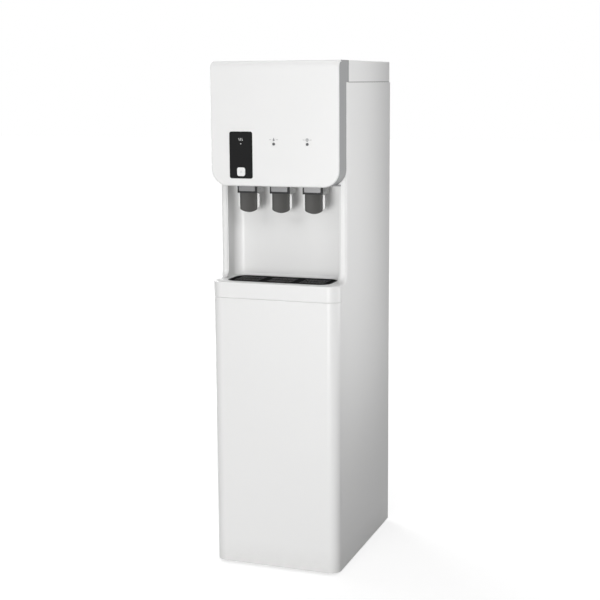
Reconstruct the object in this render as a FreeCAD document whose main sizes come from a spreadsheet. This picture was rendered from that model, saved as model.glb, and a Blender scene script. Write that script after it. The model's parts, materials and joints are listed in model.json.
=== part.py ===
import FreeCAD, Part
import math
import os

import Sketcher

# Driving dimensions in millimetres, counts and one angle in degrees.
# Depths run back from the front face, heights run up from the floor.
SIZES = {
    # cabinet
    "cabinet_width": 290,
    "cabinet_depth": 390,
    "cabinet_height": 1110,
    "panel_wall": 3,
    "sheet_wall": 1.5,
    "seam_gap": 0.4,
    "fit_gap": 0.3,
    "corner_round": 24,
    "edge_round": 7,
    "small_round": 2,
    "foot_height": 5,
    "foot_radius": 15,
    "foot_inset": 38,
    "base_height": 14,
    "base_rim": 10,
    "base_floor": 6,
    "partition_depth": 120,
    "rear_recess": 28,
    "rear_bottom": 215,
    "rear_flange": 15,
    "screw_radius": 1.9,
    "screw_head": 4,
    "screw_grip": 8,
    "mid_shelf_rise": 14,
    "corner_web": 28,
    # dispensing alcove and drip ledge
    "ledge_thickness": 35,
    "alcove_height": 206,
    "alcove_front": 63,
    "alcove_back": 110,
    "alcove_wall": 13,
    "alcove_round": 20,
    "cove_radius": 5,
    "flare_radius": 22,
    "back_groove_drop": 60,
    "back_groove": 1.2,
    "tray_margin": 58,
    "tray_width": 82,
    "tray_round": 22,
    "tray_front": 17,
    "tray_height": 28,
    "tray_wall": 2,
    "tray_rim": 2.4,
    "grille_height": 2.6,
    "slot_length": 24,
    "slot_width": 3,
    "slot_step": 6.4,
    "slot_margin": 17.4,
    "slot_count": 9,
    # head
    "head_front": 13,
    "head_height": 263,
    "head_round": 36,
    "head_top_round": 15,
    "head_skin": 4,
    "head_edge_round": 3.5,
    "head_inset": 0.5,
    "head_floor_back": 86,
    "cover_height": 46,
    "cover_front": 80,
    "cover_gap": 1.2,
    "cover_lip": 6,
    "window_width": 53,
    "window_height": 100,
    "window_rise": 16,
    "window_round": 5,
    "window_thickness": 1.4,
    "button_size": 18.4,
    "button_rise": 30.6,
    "button_round": 4.6,
    "button_proud": 0.8,
    "button_length": 8.4,
    "button_gap": 0.4,
    "light_rise": 90,
    "light_radius": 3,
    "board_depth": 25,
    "board_thickness": 1.6,
    # taps
    "tap_margin": 140,
    "spout_width": 44.6,
    "spout_front": 44,
    "spout_back": 84,
    "spout_drop": 17.4,
    "plate_width": 37,
    "plate_height": 12.8,
    "plate_thickness": 1,
    "nozzle_depth": 48,
    "nozzle_radius": 3.5,
    "barb_radius": 4,
    "barb_rise": 11,
    "nozzle_wall": 1,
    "hub_cavity_width": 38,
    "hub_cavity_front": 55,
    "hub_cavity_back": 75,
    "pivot_depth": 64,
    "pivot_drop": 9,
    "pin_radius": 1.5,
    "pin_play": 0.05,
    "pin_grip": 0.02,
    "hub_radius": 4,
    "hub_width": 36,
    "lever_width": 48.4,
    "lever_drop": 50,
    "lever_front": 54.5,
    "lever_thickness": 3.5,
    "lever_gap": 1,
    "pad_width": 39,
    "pad_drop": 59.5,
    "pad_sag": 6.6,
    "pad_thickness": 4,
    "pad_round": 10,
    "pad_hollow_radius": 70,
    "pad_hollow_depth": 1.6,
    "tongue_offset": 13,
    "tongue_width": 6,
    "tongue_rise": 12,
    "plunger_rise": 8,
    "plunger_radius": 1.5,
    "plunger_length": 5,
    "plunger_lead": 0.5,
    "plunger_sink": 1,
    "switch_width": 14,
    "switch_depth": 12.5,
    "switch_height": 11,
    "valve_height": 20,
    "valve_depth": 34,
    "valve_port": 12,
    # water circuit
    "touch_gap": 0.2,
    "foam_front": 128,
    "foam_rear": 10,
    "foam_margin": 66,
    "foam_wall": 27,
    "cold_tank_height": 170,
    "tank_wall": 1.5,
    "foam_floor": 20,
    "foam_round": 20,
    "cap_thickness": 18,
    "cap_gap": 3,
    "evaporator_thickness": 6.4,
    "coil_rise": 15,
    "coil_top_gap": 35,
    "lid_lip": 5,
    "post_inset": 40,
    "post_rise": 8,
    "valve_post_radius": 7,
    "float_drop": 31,
    "float_inset": 23,
    "float_radius": 18,
    "float_sink": 22,
    "float_body": 24,
    "blade_half": 2,
    "cheek_reach": 5,
    "cheek_inner": 4,
    "cheek_outer": 7,
    "cheek_below": 4,
    "cheek_above": 12,
    "hub_side_gap": 0.4,
    "hot_tank_radius": 60,
    "stand_height": 30,
    "stand_inset": 8,
    "hot_tank_height": 150,
    "port_reach": 8,
    "drain_rise": 15,
    "heater_thickness": 2.6,
    "heater_rise": 40,
    "heater_height": 30,
    "clamp_half": 8,
    "clamp_reach": 10,
    "filter_pitch": 80,
    "filter_depth": 76,
    "filter_radius": 28,
    "filter_bottom": 250,
    "filter_gap": 10,
    "filter_neck": 15,
    "filter_head_thickness": 38,
    "filter_head_gap": 6,
    "socket_depth": 20,
    "grip_height": 14,
    "tube_radius": 3.2,
    "tube_bend": 10,
    "tube_jog": 25,
    "lift_shift": 10,
    "riser_inset": 12,
    "riser_gap": 20,
    "inlet_inset": 65,
    "service_height": 250,
    "inlet_bore": 3.25,
    "inlet_bore_length": 18,
    "fitting_reach": 20,
    "flange_lip": 4,
    "flange_thickness": 4,
    "nut_thickness": 6,
    "inlet_valve_half": 18,
    "inlet_valve_rise": 12,
    "inlet_valve_depth": 30,
    "solenoid_radius": 10,
    "solenoid_height": 22,
    "drain_inset": 45,
    "spigot_radius": 6,
    "spigot_reach": 14,
    "cap_length": 16,
    "cap_end": 4,
    # cooling circuit
    "compressor_rear": 105,
    "compressor_radius": 58,
    "compressor_bottom": 22,
    "compressor_height": 158,
    "mount_radius": 10,
    "mount_spread": 8,
    "condenser_inset": 45,
    "condenser_bottom": 340,
    "condenser_drop": 60,
    "condenser_tail": 40,
    "liquid_rise": 25,
    "suction_rise": 60,
    "condenser_passes": 14,
    "condenser_tube": 2.5,
    "condenser_offset": 8,
    "wire_radius": 0.8,
    "wire_count": 15,
    "wire_overrun": 15,
    "weld_gap": 0.05,
    "line_radius": 3,
    # electrics
    "power_box_half": 60,
    "power_box_depth": 45,
    "power_box_height": 120,
    "power_box_drop": 156,
    "gland_offset": 40,
    "gland_bore": 3.6,
    "gland_grip": 8,
    "gland_collar": 4,
    "gland_lip": 2.5,
    "gland_nose": 14,
    "rocker_width": 12,
    "rocker_height": 20,
    "rocker_depth": 8,
    "rocker_clearance": 1.2,
    "rocker_tilt": 8,
    "rocker_proud": 3.5,
    "rocker_side_gap": 0.5,
    "trunnion_length": 2.6,
    "switch_box_wall": 4,
    "switch_box_depth": 14,
    "bezel_thickness": 2,
}

TURN = {
    "x": FreeCAD.Rotation(FreeCAD.Vector(0, 1, 0), 90),
    "y": FreeCAD.Rotation(FreeCAD.Vector(1, 0, 0), -90),
    "z": FreeCAD.Rotation(),
}
TOLERANCE = 0.01
OVERCUT = 5
# Shares of a leading size
SCREW_SHARES = (0.04, 0.34, 0.66, 0.96)
BOARD_LEFT = 1.6
BOARD_RIGHT = 1.3
CHIP_PLACE = 0.4
CHIP_RISE = 1.5
BUTTON_EASE = 0.7
SLOT_END = 0.49
GRIP_SHARE = 0.8
TIGHT_BEND = 0.45
DOME_SHARE = 0.4
FOOT_SHARE = 0.7
DISCHARGE_SHARE = 0.6
SUCTION_SHARE = 0.25


class Size:
    """A length that remembers the sheet expression it was worked out from."""

    def __init__(self, value, text):
        self.value = value
        self.text = text

    def __float__(self):
        return float(self.value)

    def __neg__(self):
        return Size(-self.value, f"(-{self.text})")

    def __add__(self, other):
        return Size(self.value + float(other), f"({self.text} + {text_of(other)})")

    def __radd__(self, other):
        return self + other

    def __sub__(self, other):
        return Size(self.value - float(other), f"({self.text} - {text_of(other)})")

    def __rsub__(self, other):
        return -self + other

    def __mul__(self, factor):
        return Size(self.value * factor, f"({self.text} * {factor})")

    def __rmul__(self, factor):
        return self * factor

    def __truediv__(self, factor):
        return Size(self.value / factor, f"({self.text} / {factor})")


def text_of(amount):
    return amount.text if isinstance(amount, Size) else repr(amount)


def smaller(first, second):
    return Size(min(first.value, second.value), f"min({first.text}; {second.text})")


def bow_radius(half, sag):
    """Radius of the arc that spans twice the half width with the given sag."""
    value = (half.value ** 2 + sag.value ** 2) / (2 * sag.value)
    return Size(value, f"(({half.text} ^ 2 + {sag.text} ^ 2) / (2 * {sag.text}))")


def bind(item, name, amount):
    item.setExpression(name, text_of(amount))


def read_sheet():
    """Fill the sheet and return its cells as sizes, by name."""
    sheet = doc.addObject("Spreadsheet::Sheet", "dims")
    for row, (name, number) in enumerate(SIZES.items(), 1):
        sheet.set(f"A{row}", name)
        sheet.set(f"B{row}", str(number))
        sheet.setAlias(f"B{row}", name)
    doc.recompute()
    return {name: Size(getattr(sheet, name), f"dims.{name}") for name in SIZES}


def edges_at(shape, **where):
    """Names of the edges that lie wholly at the given coordinates."""
    names = []
    for number, edge in enumerate(shape.Edges, 1):
        middle = edge.valueAt((edge.FirstParameter + edge.LastParameter) / 2)
        points = [vertex.Point for vertex in edge.Vertexes] + [middle]
        if all(
            any(abs(getattr(point, axis) - float(spot)) < TOLERANCE for spot in spots)
            for axis, spots in where.items()
            for point in points
        ):
            names.append(f"Edge{number}")
    return names


def distance(sketch, axis, geometry, point, amount):
    """Hold one point of the sketch at a distance from its origin along X or Y."""
    span = Sketcher.Constraint(f"Distance{axis}", -1, 1, geometry, point, float(amount))
    number = sketch.addConstraint(span)
    bind(sketch, f"Constraints[{number}]", amount)


def hold_radius(sketch, geometry, amount):
    number = sketch.addConstraint(Sketcher.Constraint("Radius", geometry, float(amount)))
    bind(sketch, f"Constraints[{number}]", amount)


def draw_rounded(sketch, across, upward, radii):
    """Rectangle with a radius, or None, at low left, low right, high right and high left."""
    left, right = (float(amount) for amount in across)
    low, high = (float(amount) for amount in upward)
    trims = [float(radius) if radius is not None else 0 for radius in radii]
    vector = FreeCAD.Vector
    runs = [
        (vector(left + trims[0], low), vector(right - trims[1], low)),
        (vector(right, low + trims[1]), vector(right, high - trims[2])),
        (vector(right - trims[2], high), vector(left + trims[3], high)),
        (vector(left, high - trims[3]), vector(left, low + trims[0])),
    ]
    centres = [
        vector(left + trims[0], low + trims[0]),
        vector(right - trims[1], low + trims[1]),
        vector(right - trims[2], high - trims[2]),
        vector(left + trims[3], high - trims[3]),
    ]
    for start, end in runs:
        sketch.addGeometry(Part.LineSegment(start, end), False)
    for corner, radius in enumerate(radii):
        before = (corner - 1) % 4
        if radius is None:
            sketch.addConstraint(Sketcher.Constraint("Coincident", before, 2, corner, 1))
            continue
        start_angle = math.pi + corner * math.pi / 2
        circle = Part.Circle(centres[corner], vector(0, 0, 1), trims[corner])
        arc = sketch.addGeometry(Part.ArcOfCircle(circle, start_angle, start_angle + math.pi / 2), False)
        sketch.addConstraint(Sketcher.Constraint("Tangent", before, 2, arc, 1))
        sketch.addConstraint(Sketcher.Constraint("Tangent", arc, 2, corner, 1))
        hold_radius(sketch, arc, radius)
    for line, kind in enumerate(("Horizontal", "Vertical", "Horizontal", "Vertical")):
        sketch.addConstraint(Sketcher.Constraint(kind, line))
    distance(sketch, "Y", 0, 1, upward[0])
    distance(sketch, "X", 1, 1, across[1])
    distance(sketch, "Y", 2, 1, upward[1])
    distance(sketch, "X", 3, 1, across[0])


def draw_corner(sketch, spot, radius, aims):
    """What a rounding takes off a square corner whose sides run along the two aims."""
    x, y = (float(amount) for amount in spot)
    reach = float(radius)
    vector = FreeCAD.Vector
    corner = vector(x, y)
    along = vector(x + aims[0] * reach, y)
    beside = vector(x, y + aims[1] * reach)
    centre = vector(x + aims[0] * reach, y + aims[1] * reach)
    blend = reach * (1 - math.sqrt(0.5))
    middle = vector(x + aims[0] * blend, y + aims[1] * blend)
    sketch.addGeometry(Part.LineSegment(corner, along), False)
    sketch.addGeometry(Part.Arc(along, middle, beside), False)
    sketch.addGeometry(Part.LineSegment(beside, corner), False)
    arc_start = 1 if sketch.getPoint(1, 1).isEqual(along, TOLERANCE) else 2
    sketch.addConstraint(Sketcher.Constraint("Coincident", 0, 1, 2, 2))
    sketch.addConstraint(Sketcher.Constraint("Tangent", 0, 2, 1, arc_start))
    sketch.addConstraint(Sketcher.Constraint("Tangent", 1, 3 - arc_start, 2, 1))
    sketch.addConstraint(Sketcher.Constraint("Horizontal", 0))
    sketch.addConstraint(Sketcher.Constraint("Vertical", 2))
    hold_radius(sketch, 1, radius)
    distance(sketch, "X", 0, 1, spot[0])
    distance(sketch, "Y", 0, 1, spot[1])


def draw_tongue(sketch, across, upward, sag):
    """Straight sides and top over a lower edge bowed downwards by the sag."""
    left, right = (float(amount) for amount in across)
    low, high = (float(amount) for amount in upward)
    shoulder = upward[0] + sag
    vector = FreeCAD.Vector
    left_foot = vector(left, float(shoulder))
    right_foot = vector(right, float(shoulder))
    sketch.addGeometry(Part.LineSegment(vector(left, high), left_foot), False)
    sketch.addGeometry(Part.Arc(left_foot, vector((left + right) / 2, low), right_foot), False)
    sketch.addGeometry(Part.LineSegment(right_foot, vector(right, high)), False)
    sketch.addGeometry(Part.LineSegment(vector(right, high), vector(left, high)), False)
    for before, after in ((0, 1), (1, 2), (2, 3), (3, 0)):
        sketch.addConstraint(Sketcher.Constraint("Coincident", before, 2, after, 1))
    for line, kind in ((0, "Vertical"), (2, "Vertical"), (3, "Horizontal")):
        sketch.addConstraint(Sketcher.Constraint(kind, line))
    distance(sketch, "X", 0, 1, across[0])
    distance(sketch, "X", 2, 2, across[1])
    distance(sketch, "Y", 3, 1, upward[1])
    distance(sketch, "Y", 0, 2, shoulder)
    distance(sketch, "Y", 2, 1, shoulder)
    hold_radius(sketch, 1, bow_radius((across[1] - across[0]) / 2, sag))


class Piece:
    """One sub-part, built up in its own body."""

    def __init__(self, label):
        self.label = label
        self.body = doc.addObject("PartDesign::Body", label)
        self.body.AllowCompound = True
        self.tally = 0
        pieces.append(self)

    def add(self, kind):
        self.tally += 1
        return self.body.newObject(f"PartDesign::{kind}", f"{self.label}_{self.tally}")

    def place(self, item, spot):
        for axis, amount in zip("xyz", spot):
            bind(item, f"Placement.Base.{axis}", amount)

    def block(self, low, high, cut=False):
        """Box between two opposite corners."""
        spans = [sorted(pair, key=float) for pair in zip(low, high)]
        item = self.add("SubtractiveBox" if cut else "AdditiveBox")
        for name, (start, end) in zip(("Length", "Width", "Height"), spans):
            bind(item, name, end - start)
        self.place(item, [start for start, end in spans])

    def rod(self, axis, start, radius, length, cut=False):
        """Cylinder from a start point along the positive axis."""
        item = self.add("SubtractiveCylinder" if cut else "AdditiveCylinder")
        item.Placement = FreeCAD.Placement(FreeCAD.Vector(), TURN[axis])
        bind(item, "Radius", radius)
        bind(item, "Height", length)
        self.place(item, start)

    def cone(self, start, low_radius, high_radius, length):
        item = self.add("AdditiveCone")
        bind(item, "Radius1", low_radius)
        bind(item, "Radius2", high_radius)
        bind(item, "Height", length)
        self.place(item, start)

    def sketch(self, plane, base):
        """Sketch on one of the body's own planes, moved along the plane's axis."""
        self.tally += 1
        sketch = self.body.newObject("Sketcher::SketchObject", f"{self.label}_sketch_{self.tally}")
        planes = {feature.Role: feature for feature in self.body.Origin.OriginFeatures}
        sketch.AttachmentSupport = (planes[f"{plane}_Plane"], "")
        sketch.MapMode = "FlatFace"
        bind(sketch, "AttachmentOffset.Base.z", -base if plane == "XZ" else base)
        return sketch

    def extrude(self, sketch, plane, depth, cut):
        """Pad or pocket from the sketch along the positive axis of its plane."""
        item = self.add("Pocket" if cut else "Pad")
        item.Profile = sketch
        item.Reversed = (plane == "XZ") != cut
        bind(item, "Length", depth)
        sketch.Visibility = False
        return item

    def slab(self, plane, base, depth, across, upward, radii, cut=False):
        """Rounded rectangle drawn on a plane and extruded along its axis."""
        sketch = self.sketch(plane, base)
        draw_rounded(sketch, across, upward, radii)
        return self.extrude(sketch, plane, depth, cut)

    def trim_corner(self, plane, base, depth, spot, radius, aims):
        """Round off one square corner by cutting what lies outside the arc."""
        sketch = self.sketch(plane, base)
        draw_corner(sketch, spot, radius, aims)
        self.extrude(sketch, plane, depth, True)

    def repeat(self, feature, reach, count):
        """Repeat a feature along X over the whole reach."""
        item = self.add("LinearPattern")
        item.Originals = [feature]
        item.Direction = (feature.Profile[0], ["H_Axis"])
        bind(item, "Length", reach)
        bind(item, "Occurrences", count)
        self.body.Tip = item

    def round(self, radius, **where):
        """Fillet the edges that lie at the given coordinates."""
        doc.recompute()
        base = self.body.Tip
        names = edges_at(base.Shape, **where)
        if not names:
            raise ValueError(f"{self.label}: no edge at {where}")
        item = self.add("Fillet")
        item.Base = (base, names)
        bind(item, "Radius", radius)

    def shape(self):
        return self.body.Shape


class Tubing:
    """Round tubes or wires, each along straight runs joined by tangent arcs."""

    def __init__(self, label):
        self.label = label
        self.item = doc.addObject("Part::Feature", label)
        self.shapes = []
        pieces.append(self)

    def tube(self, points, radius, bend):
        corners = [FreeCAD.Vector(*(float(amount) for amount in point)) for point in points]
        reach = float(bend)
        edges = []
        start = corners[0]
        for before, corner, after in zip(corners, corners[1:], corners[2:]):
            back = (before - corner).normalize()
            ahead = (after - corner).normalize()
            entry = corner + back * reach
            leave = corner + ahead * reach
            middle = corner + (back + ahead) * (reach * (1 - math.sqrt(0.5)))
            edges.append(Part.makeLine(start, entry))
            edges.append(Part.Arc(entry, middle, leave).toShape())
            start = leave
        edges.append(Part.makeLine(start, corners[-1]))
        circle = Part.makeCircle(float(radius), corners[0], corners[1] - corners[0])
        self.shapes.append(Part.Wire(edges).makePipeShell([Part.Wire([circle])], True, False))

    def finish(self):
        self.item.Shape = Part.makeCompound(self.shapes)

    def shape(self):
        return self.item.Shape


doc = FreeCAD.newDocument("water_cooler")
pieces = []
size = read_sheet()

half_width = size["cabinet_width"] / 2
front = -size["cabinet_depth"] / 2
back = size["cabinet_depth"] / 2
top = size["cabinet_height"]
wall = size["panel_wall"]
sheet_wall = size["sheet_wall"]
seam = size["seam_gap"]
fit = size["fit_gap"]
touch = size["touch_gap"]

# Levels worked out downwards from the top of the cabinet
size["cover_seam"] = top - size["cover_height"]
size["head_bottom"] = top - size["head_height"]
size["ledge_height"] = size["head_bottom"] - size["alcove_height"]
size["ledge_seam"] = size["ledge_height"] - size["ledge_thickness"]
size["mid_shelf_height"] = size["ledge_seam"] + size["mid_shelf_rise"]
size["window_bottom"] = size["head_bottom"] + size["window_rise"]
size["button_height"] = size["head_bottom"] + size["button_rise"]
size["light_height"] = size["head_bottom"] + size["light_rise"]
size["barb_height"] = size["head_bottom"] + size["barb_rise"]
size["tongue_top"] = size["head_bottom"] + size["tongue_rise"]
size["plunger_height"] = size["head_bottom"] + size["plunger_rise"]
size["pivot_height"] = size["head_bottom"] - size["pivot_drop"]
size["lever_bottom"] = size["head_bottom"] - size["lever_drop"]
size["pad_bottom"] = size["head_bottom"] - size["pad_drop"]
size["cap_top"] = size["cover_seam"] - size["cap_gap"]
size["foam_top"] = size["cap_top"] - size["cap_thickness"]
size["float_height"] = size["foam_top"] - size["float_drop"]
size["hot_tank_bottom"] = size["mid_shelf_height"] + size["stand_height"]
size["heater_bottom"] = size["hot_tank_bottom"] + size["heater_rise"]
size["filter_head_top"] = size["ledge_seam"] - size["filter_head_gap"]
size["filter_head_bottom"] = size["filter_head_top"] - size["filter_head_thickness"]
size["filter_top"] = size["filter_head_bottom"] - size["filter_gap"]
size["condenser_top"] = size["cover_seam"] - size["condenser_drop"]

# Widths and places that follow the cabinet's plan
size["tray_length"] = size["cabinet_width"] - size["tray_margin"]
size["tap_pitch"] = (size["cabinet_width"] - size["tap_margin"]) / 2
tight_step = (size["tap_pitch"] - size["slot_margin"]) / SIZES["slot_count"]
size["slot_pitch"] = smaller(size["slot_step"], tight_step)
size["foam_width"] = size["cabinet_width"] - size["foam_margin"]
inner_half = half_width - wall - fit
wrap_back = front + size["corner_round"] + wall
side_front = wrap_back + seam
wall_front = front + size["alcove_front"]
wall_back = front + size["alcove_back"]
liner_half = half_width - size["alcove_wall"] - fit
rear_face = back - size["rear_recess"]
rear_outer = rear_face + sheet_wall
shelf_back = rear_face - wall - fit
base_top = size["foot_height"] + size["base_height"]
base_floor_top = size["foot_height"] + size["base_floor"]
partition_back = front + size["partition_depth"] + sheet_wall
head_face = front + size["head_front"]
skin_back = head_face + size["head_skin"]
head_floor_top = size["head_bottom"] + wall
foam_near = front + size["foam_front"]
foam_far = rear_face - size["foam_rear"]
tank_y = (foam_near + foam_far) / 2
size["cold_tank_radius"] = smaller(size["foam_width"], foam_far - foam_near) / 2 - size["foam_wall"]
size["evaporator_radius"] = size["cold_tank_radius"] + size["evaporator_thickness"]
size["lid_radius"] = size["cold_tank_radius"] + size["lid_lip"]
size["float_arm_length"] = size["cold_tank_radius"] - size["float_inset"]
post_x = size["post_inset"] - size["cold_tank_radius"]
tap_places = {"hot": -size["tap_pitch"], "normal": 0, "cold": size["tap_pitch"]}
screw_x = half_width - wall - size["rear_flange"] / 2
screw_heights = [
    size["rear_bottom"] + (size["cover_seam"] - size["rear_bottom"]) * share for share in SCREW_SHARES
]
service = size["service_height"]
inlet_x = half_width - size["inlet_inset"]
drain_x = size["drain_inset"] - half_width
head_port = (size["filter_head_bottom"] + size["filter_head_top"]) / 2
riser_x = -half_width + wall + size["riser_inset"]
riser_y = front + size["partition_depth"] + size["riser_gap"]
suction_x = half_width - wall - size["riser_inset"]
feed_height = (size["foam_top"] + size["cap_top"]) / 2
drain_height = size["hot_tank_bottom"] + size["drain_rise"]
liquid_height = size["condenser_top"] + size["liquid_rise"]
compressor_y = back - size["compressor_rear"]
condenser_x = half_width - size["condenser_inset"]
condenser_y = rear_outer + size["condenser_offset"]


def make_base():
    tray = Piece("base_tray")
    tray.block((-inner_half, side_front, size["foot_height"]), (inner_half, back - wall, base_top))
    rim = size["base_rim"]
    tray.block(
        (-inner_half + rim, side_front + rim, base_floor_top),
        (inner_half - rim, back - wall - rim, base_top + OVERCUT),
        cut=True,
    )
    feet = Piece("feet")
    spread = half_width - size["foot_inset"]
    for x in (-spread, spread):
        for y in (front + size["foot_inset"] + size["corner_round"], back - size["foot_inset"]):
            feet.cone(
                (x, y, 0), size["foot_radius"] - size["small_round"], size["foot_radius"], size["foot_height"]
            )


def make_side_panel(label, side):
    """Moulded side with a flared front edge at the alcove; side is +1 or -1."""
    panel = Piece(label)
    outer = half_width * side
    inner = (half_width - wall) * side
    lip = (half_width - size["alcove_wall"]) * side
    clear = lip - OVERCUT * side
    panel.block((lip, side_front, size["foot_height"]), (outer, back, size["ledge_height"]))
    panel.block((lip, wall_front, size["ledge_height"] - wall), (outer, back, size["cover_seam"]))
    panel.round(size["flare_radius"], y=[wall_front], z=[size["ledge_height"]])
    panel.round(size["edge_round"], x=[outer], y=[wall_front])
    low_x = sorted((lip, outer), key=float)[0]
    panel.trim_corner(
        "YZ", low_x, size["alcove_wall"], (wall_front, size["cover_seam"]), size["edge_round"], (1, -1)
    )
    panel.block(
        (clear, wall_front + wall, size["foot_height"] - OVERCUT),
        (inner, back + OVERCUT, size["cover_seam"] + OVERCUT),
        cut=True,
    )
    panel.block(
        (clear, side_front - OVERCUT, size["foot_height"] - OVERCUT),
        (inner, wall_front + wall + OVERCUT, size["ledge_height"] - wall),
        cut=True,
    )
    flange = (half_width - wall - size["rear_flange"]) * side
    panel.block((flange, rear_face - wall, size["rear_bottom"]), (outer, rear_face, size["cover_seam"]))
    for height in screw_heights:
        panel.rod(
            "y", (screw_x * side, rear_face - wall - OVERCUT, height),
            size["screw_radius"] + size["pin_play"] * 2,
            wall + OVERCUT * 2, cut=True,
        )
    web_end = (half_width - size["alcove_wall"] - size["corner_web"]) * side
    panel.block(
        (web_end, wall_front, head_floor_top + fit),
        (lip + wall * side, wall_front + wall, size["head_bottom"] + size["head_round"] + wall),
    )


def make_lower_front():
    panel = Piece("lower_front_panel")
    low = size["foot_height"]
    high = size["ledge_seam"] - seam
    radii = (size["corner_round"], size["corner_round"], None, None)
    inner_radii = (size["corner_round"] - wall, size["corner_round"] - wall, None, None)
    panel.slab("XY", low, high - low, (-half_width, half_width), (front, wrap_back), radii)
    panel.round(size["small_round"], z=[high])
    inside = half_width - wall
    panel.slab(
        "XY", low + wall, high - low - wall * 2, (-inside, inside), (front + wall, wrap_back + OVERCUT),
        inner_radii, cut=True,
    )


def make_drip_ledge():
    ledge = Piece("drip_ledge")
    low = size["ledge_seam"]
    high = size["ledge_height"]
    radii = (size["corner_round"], size["corner_round"], None, None)
    ledge.slab("XY", low, high - low, (-half_width, half_width), (front, wrap_back), radii)
    ledge.round(size["small_round"] * 2, z=[high], y=[front])
    inner_radii = (size["corner_round"] - wall, size["corner_round"] - wall, None, None)
    inside = half_width - wall
    ledge.slab(
        "XY", low - OVERCUT, high - low - wall + OVERCUT, (-inside, inside),
        (front + wall, wrap_back + OVERCUT), inner_radii, cut=True,
    )
    ledge.block((-liner_half, wrap_back - wall, high - wall), (liner_half, wall_back - fit, high))
    cove = size["cove_radius"]
    strip = liner_half - wall - fit
    ledge.block((-strip, wall_back - fit - cove, high - wall), (strip, wall_back - fit, high + cove))
    ledge.rod(
        "x", (-strip - OVERCUT, wall_back - fit - cove, high + cove), cove, strip * 2 + OVERCUT * 2, cut=True
    )
    for side in (1, -1):
        ledge.trim_corner(
            "XY", high - wall - OVERCUT, cove + wall + OVERCUT * 2,
            ((liner_half - wall) * side, wall_back), size["alcove_round"] + fit, (-side, -1),
        )
    half_tray = size["tray_length"] / 2 + fit
    tray_front = front + size["tray_front"] - fit
    tray_back = tray_front + size["tray_width"] + fit * 2
    rim = size["tray_rim"]
    for reach, base in ((0, low), (rim, high - rim)):
        radius = size["tray_round"] + reach
        ledge.slab(
            "XY", base, high - base + OVERCUT, (-half_tray - reach, half_tray + reach),
            (tray_front - reach, tray_back + reach), [radius] * 4, cut=True,
        )


def make_alcove_liner():
    liner = Piece("alcove_liner")
    low = size["ledge_height"] + fit
    height = size["head_bottom"] - fit - low
    outer = size["alcove_round"] + wall
    inside = liner_half - wall
    liner.slab(
        "XY", low, height, (-liner_half, liner_half), (wall_front, wall_back + wall),
        (None, None, outer, outer),
    )
    liner.slab(
        "XY", low - OVERCUT, height + OVERCUT * 2, (-inside, inside), (wall_front - OVERCUT, wall_back),
        (None, None, size["alcove_round"], size["alcove_round"]), cut=True,
    )
    flare = size["flare_radius"]
    for near in (-liner_half, inside):
        liner.block((near, wall_front - flare, low), (near + wall, wall_front + wall, low + flare))
        liner.rod(
            "x", (near - OVERCUT, wall_front - flare, low + flare), flare, wall + OVERCUT * 2, cut=True
        )
    flat = inside - size["alcove_round"]
    groove = size["head_bottom"] - size["back_groove_drop"]
    liner.block(
        (-flat, wall_back - OVERCUT, groove - size["back_groove"]),
        (flat, wall_back + wall / 3, groove), cut=True,
    )


def make_head_housing():
    housing = Piece("head_housing")
    across = half_width - size["head_inset"]
    inside = across - wall
    low = size["head_bottom"]
    front_face = skin_back + fit
    crown = top - size["head_skin"] - fit
    radii = (size["head_round"], size["head_round"], None, None)
    inner_radii = (size["head_round"] - wall, size["head_round"] - wall, None, None)
    housing.slab("XZ", front_face, wall_front - fit - front_face, (-across, across), (low, crown), radii)
    housing.round(size["head_top_round"] - size["head_skin"], y=[front_face], z=[crown])
    wrap_end = head_face + size["head_top_round"] + size["head_skin"] + fit
    cover_front = front + size["cover_front"] - seam
    housing.block((-across, wrap_end, size["cover_seam"] + seam), (across, cover_front, top))
    housing.slab(
        "XZ", front_face - OVERCUT, cover_front - front_face + OVERCUT * 2, (-inside, inside),
        (low + wall, crown - wall), inner_radii, cut=True,
    )
    floor_half = liner_half - fit
    housing.block(
        (-floor_half, wall_front - wall, low), (floor_half, front + size["head_floor_back"], low + wall)
    )
    for x in tap_places.values():
        reach = size["hub_cavity_width"] / 2
        housing.block(
            (x - reach, front + size["hub_cavity_front"], low - OVERCUT),
            (x + reach, front + size["hub_cavity_back"], low + wall + OVERCUT), cut=True,
        )
        housing.rod(
            "z", (x, front + size["nozzle_depth"], low - OVERCUT), size["barb_radius"] + fit,
            wall + OVERCUT * 2, cut=True,
        )


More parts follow.
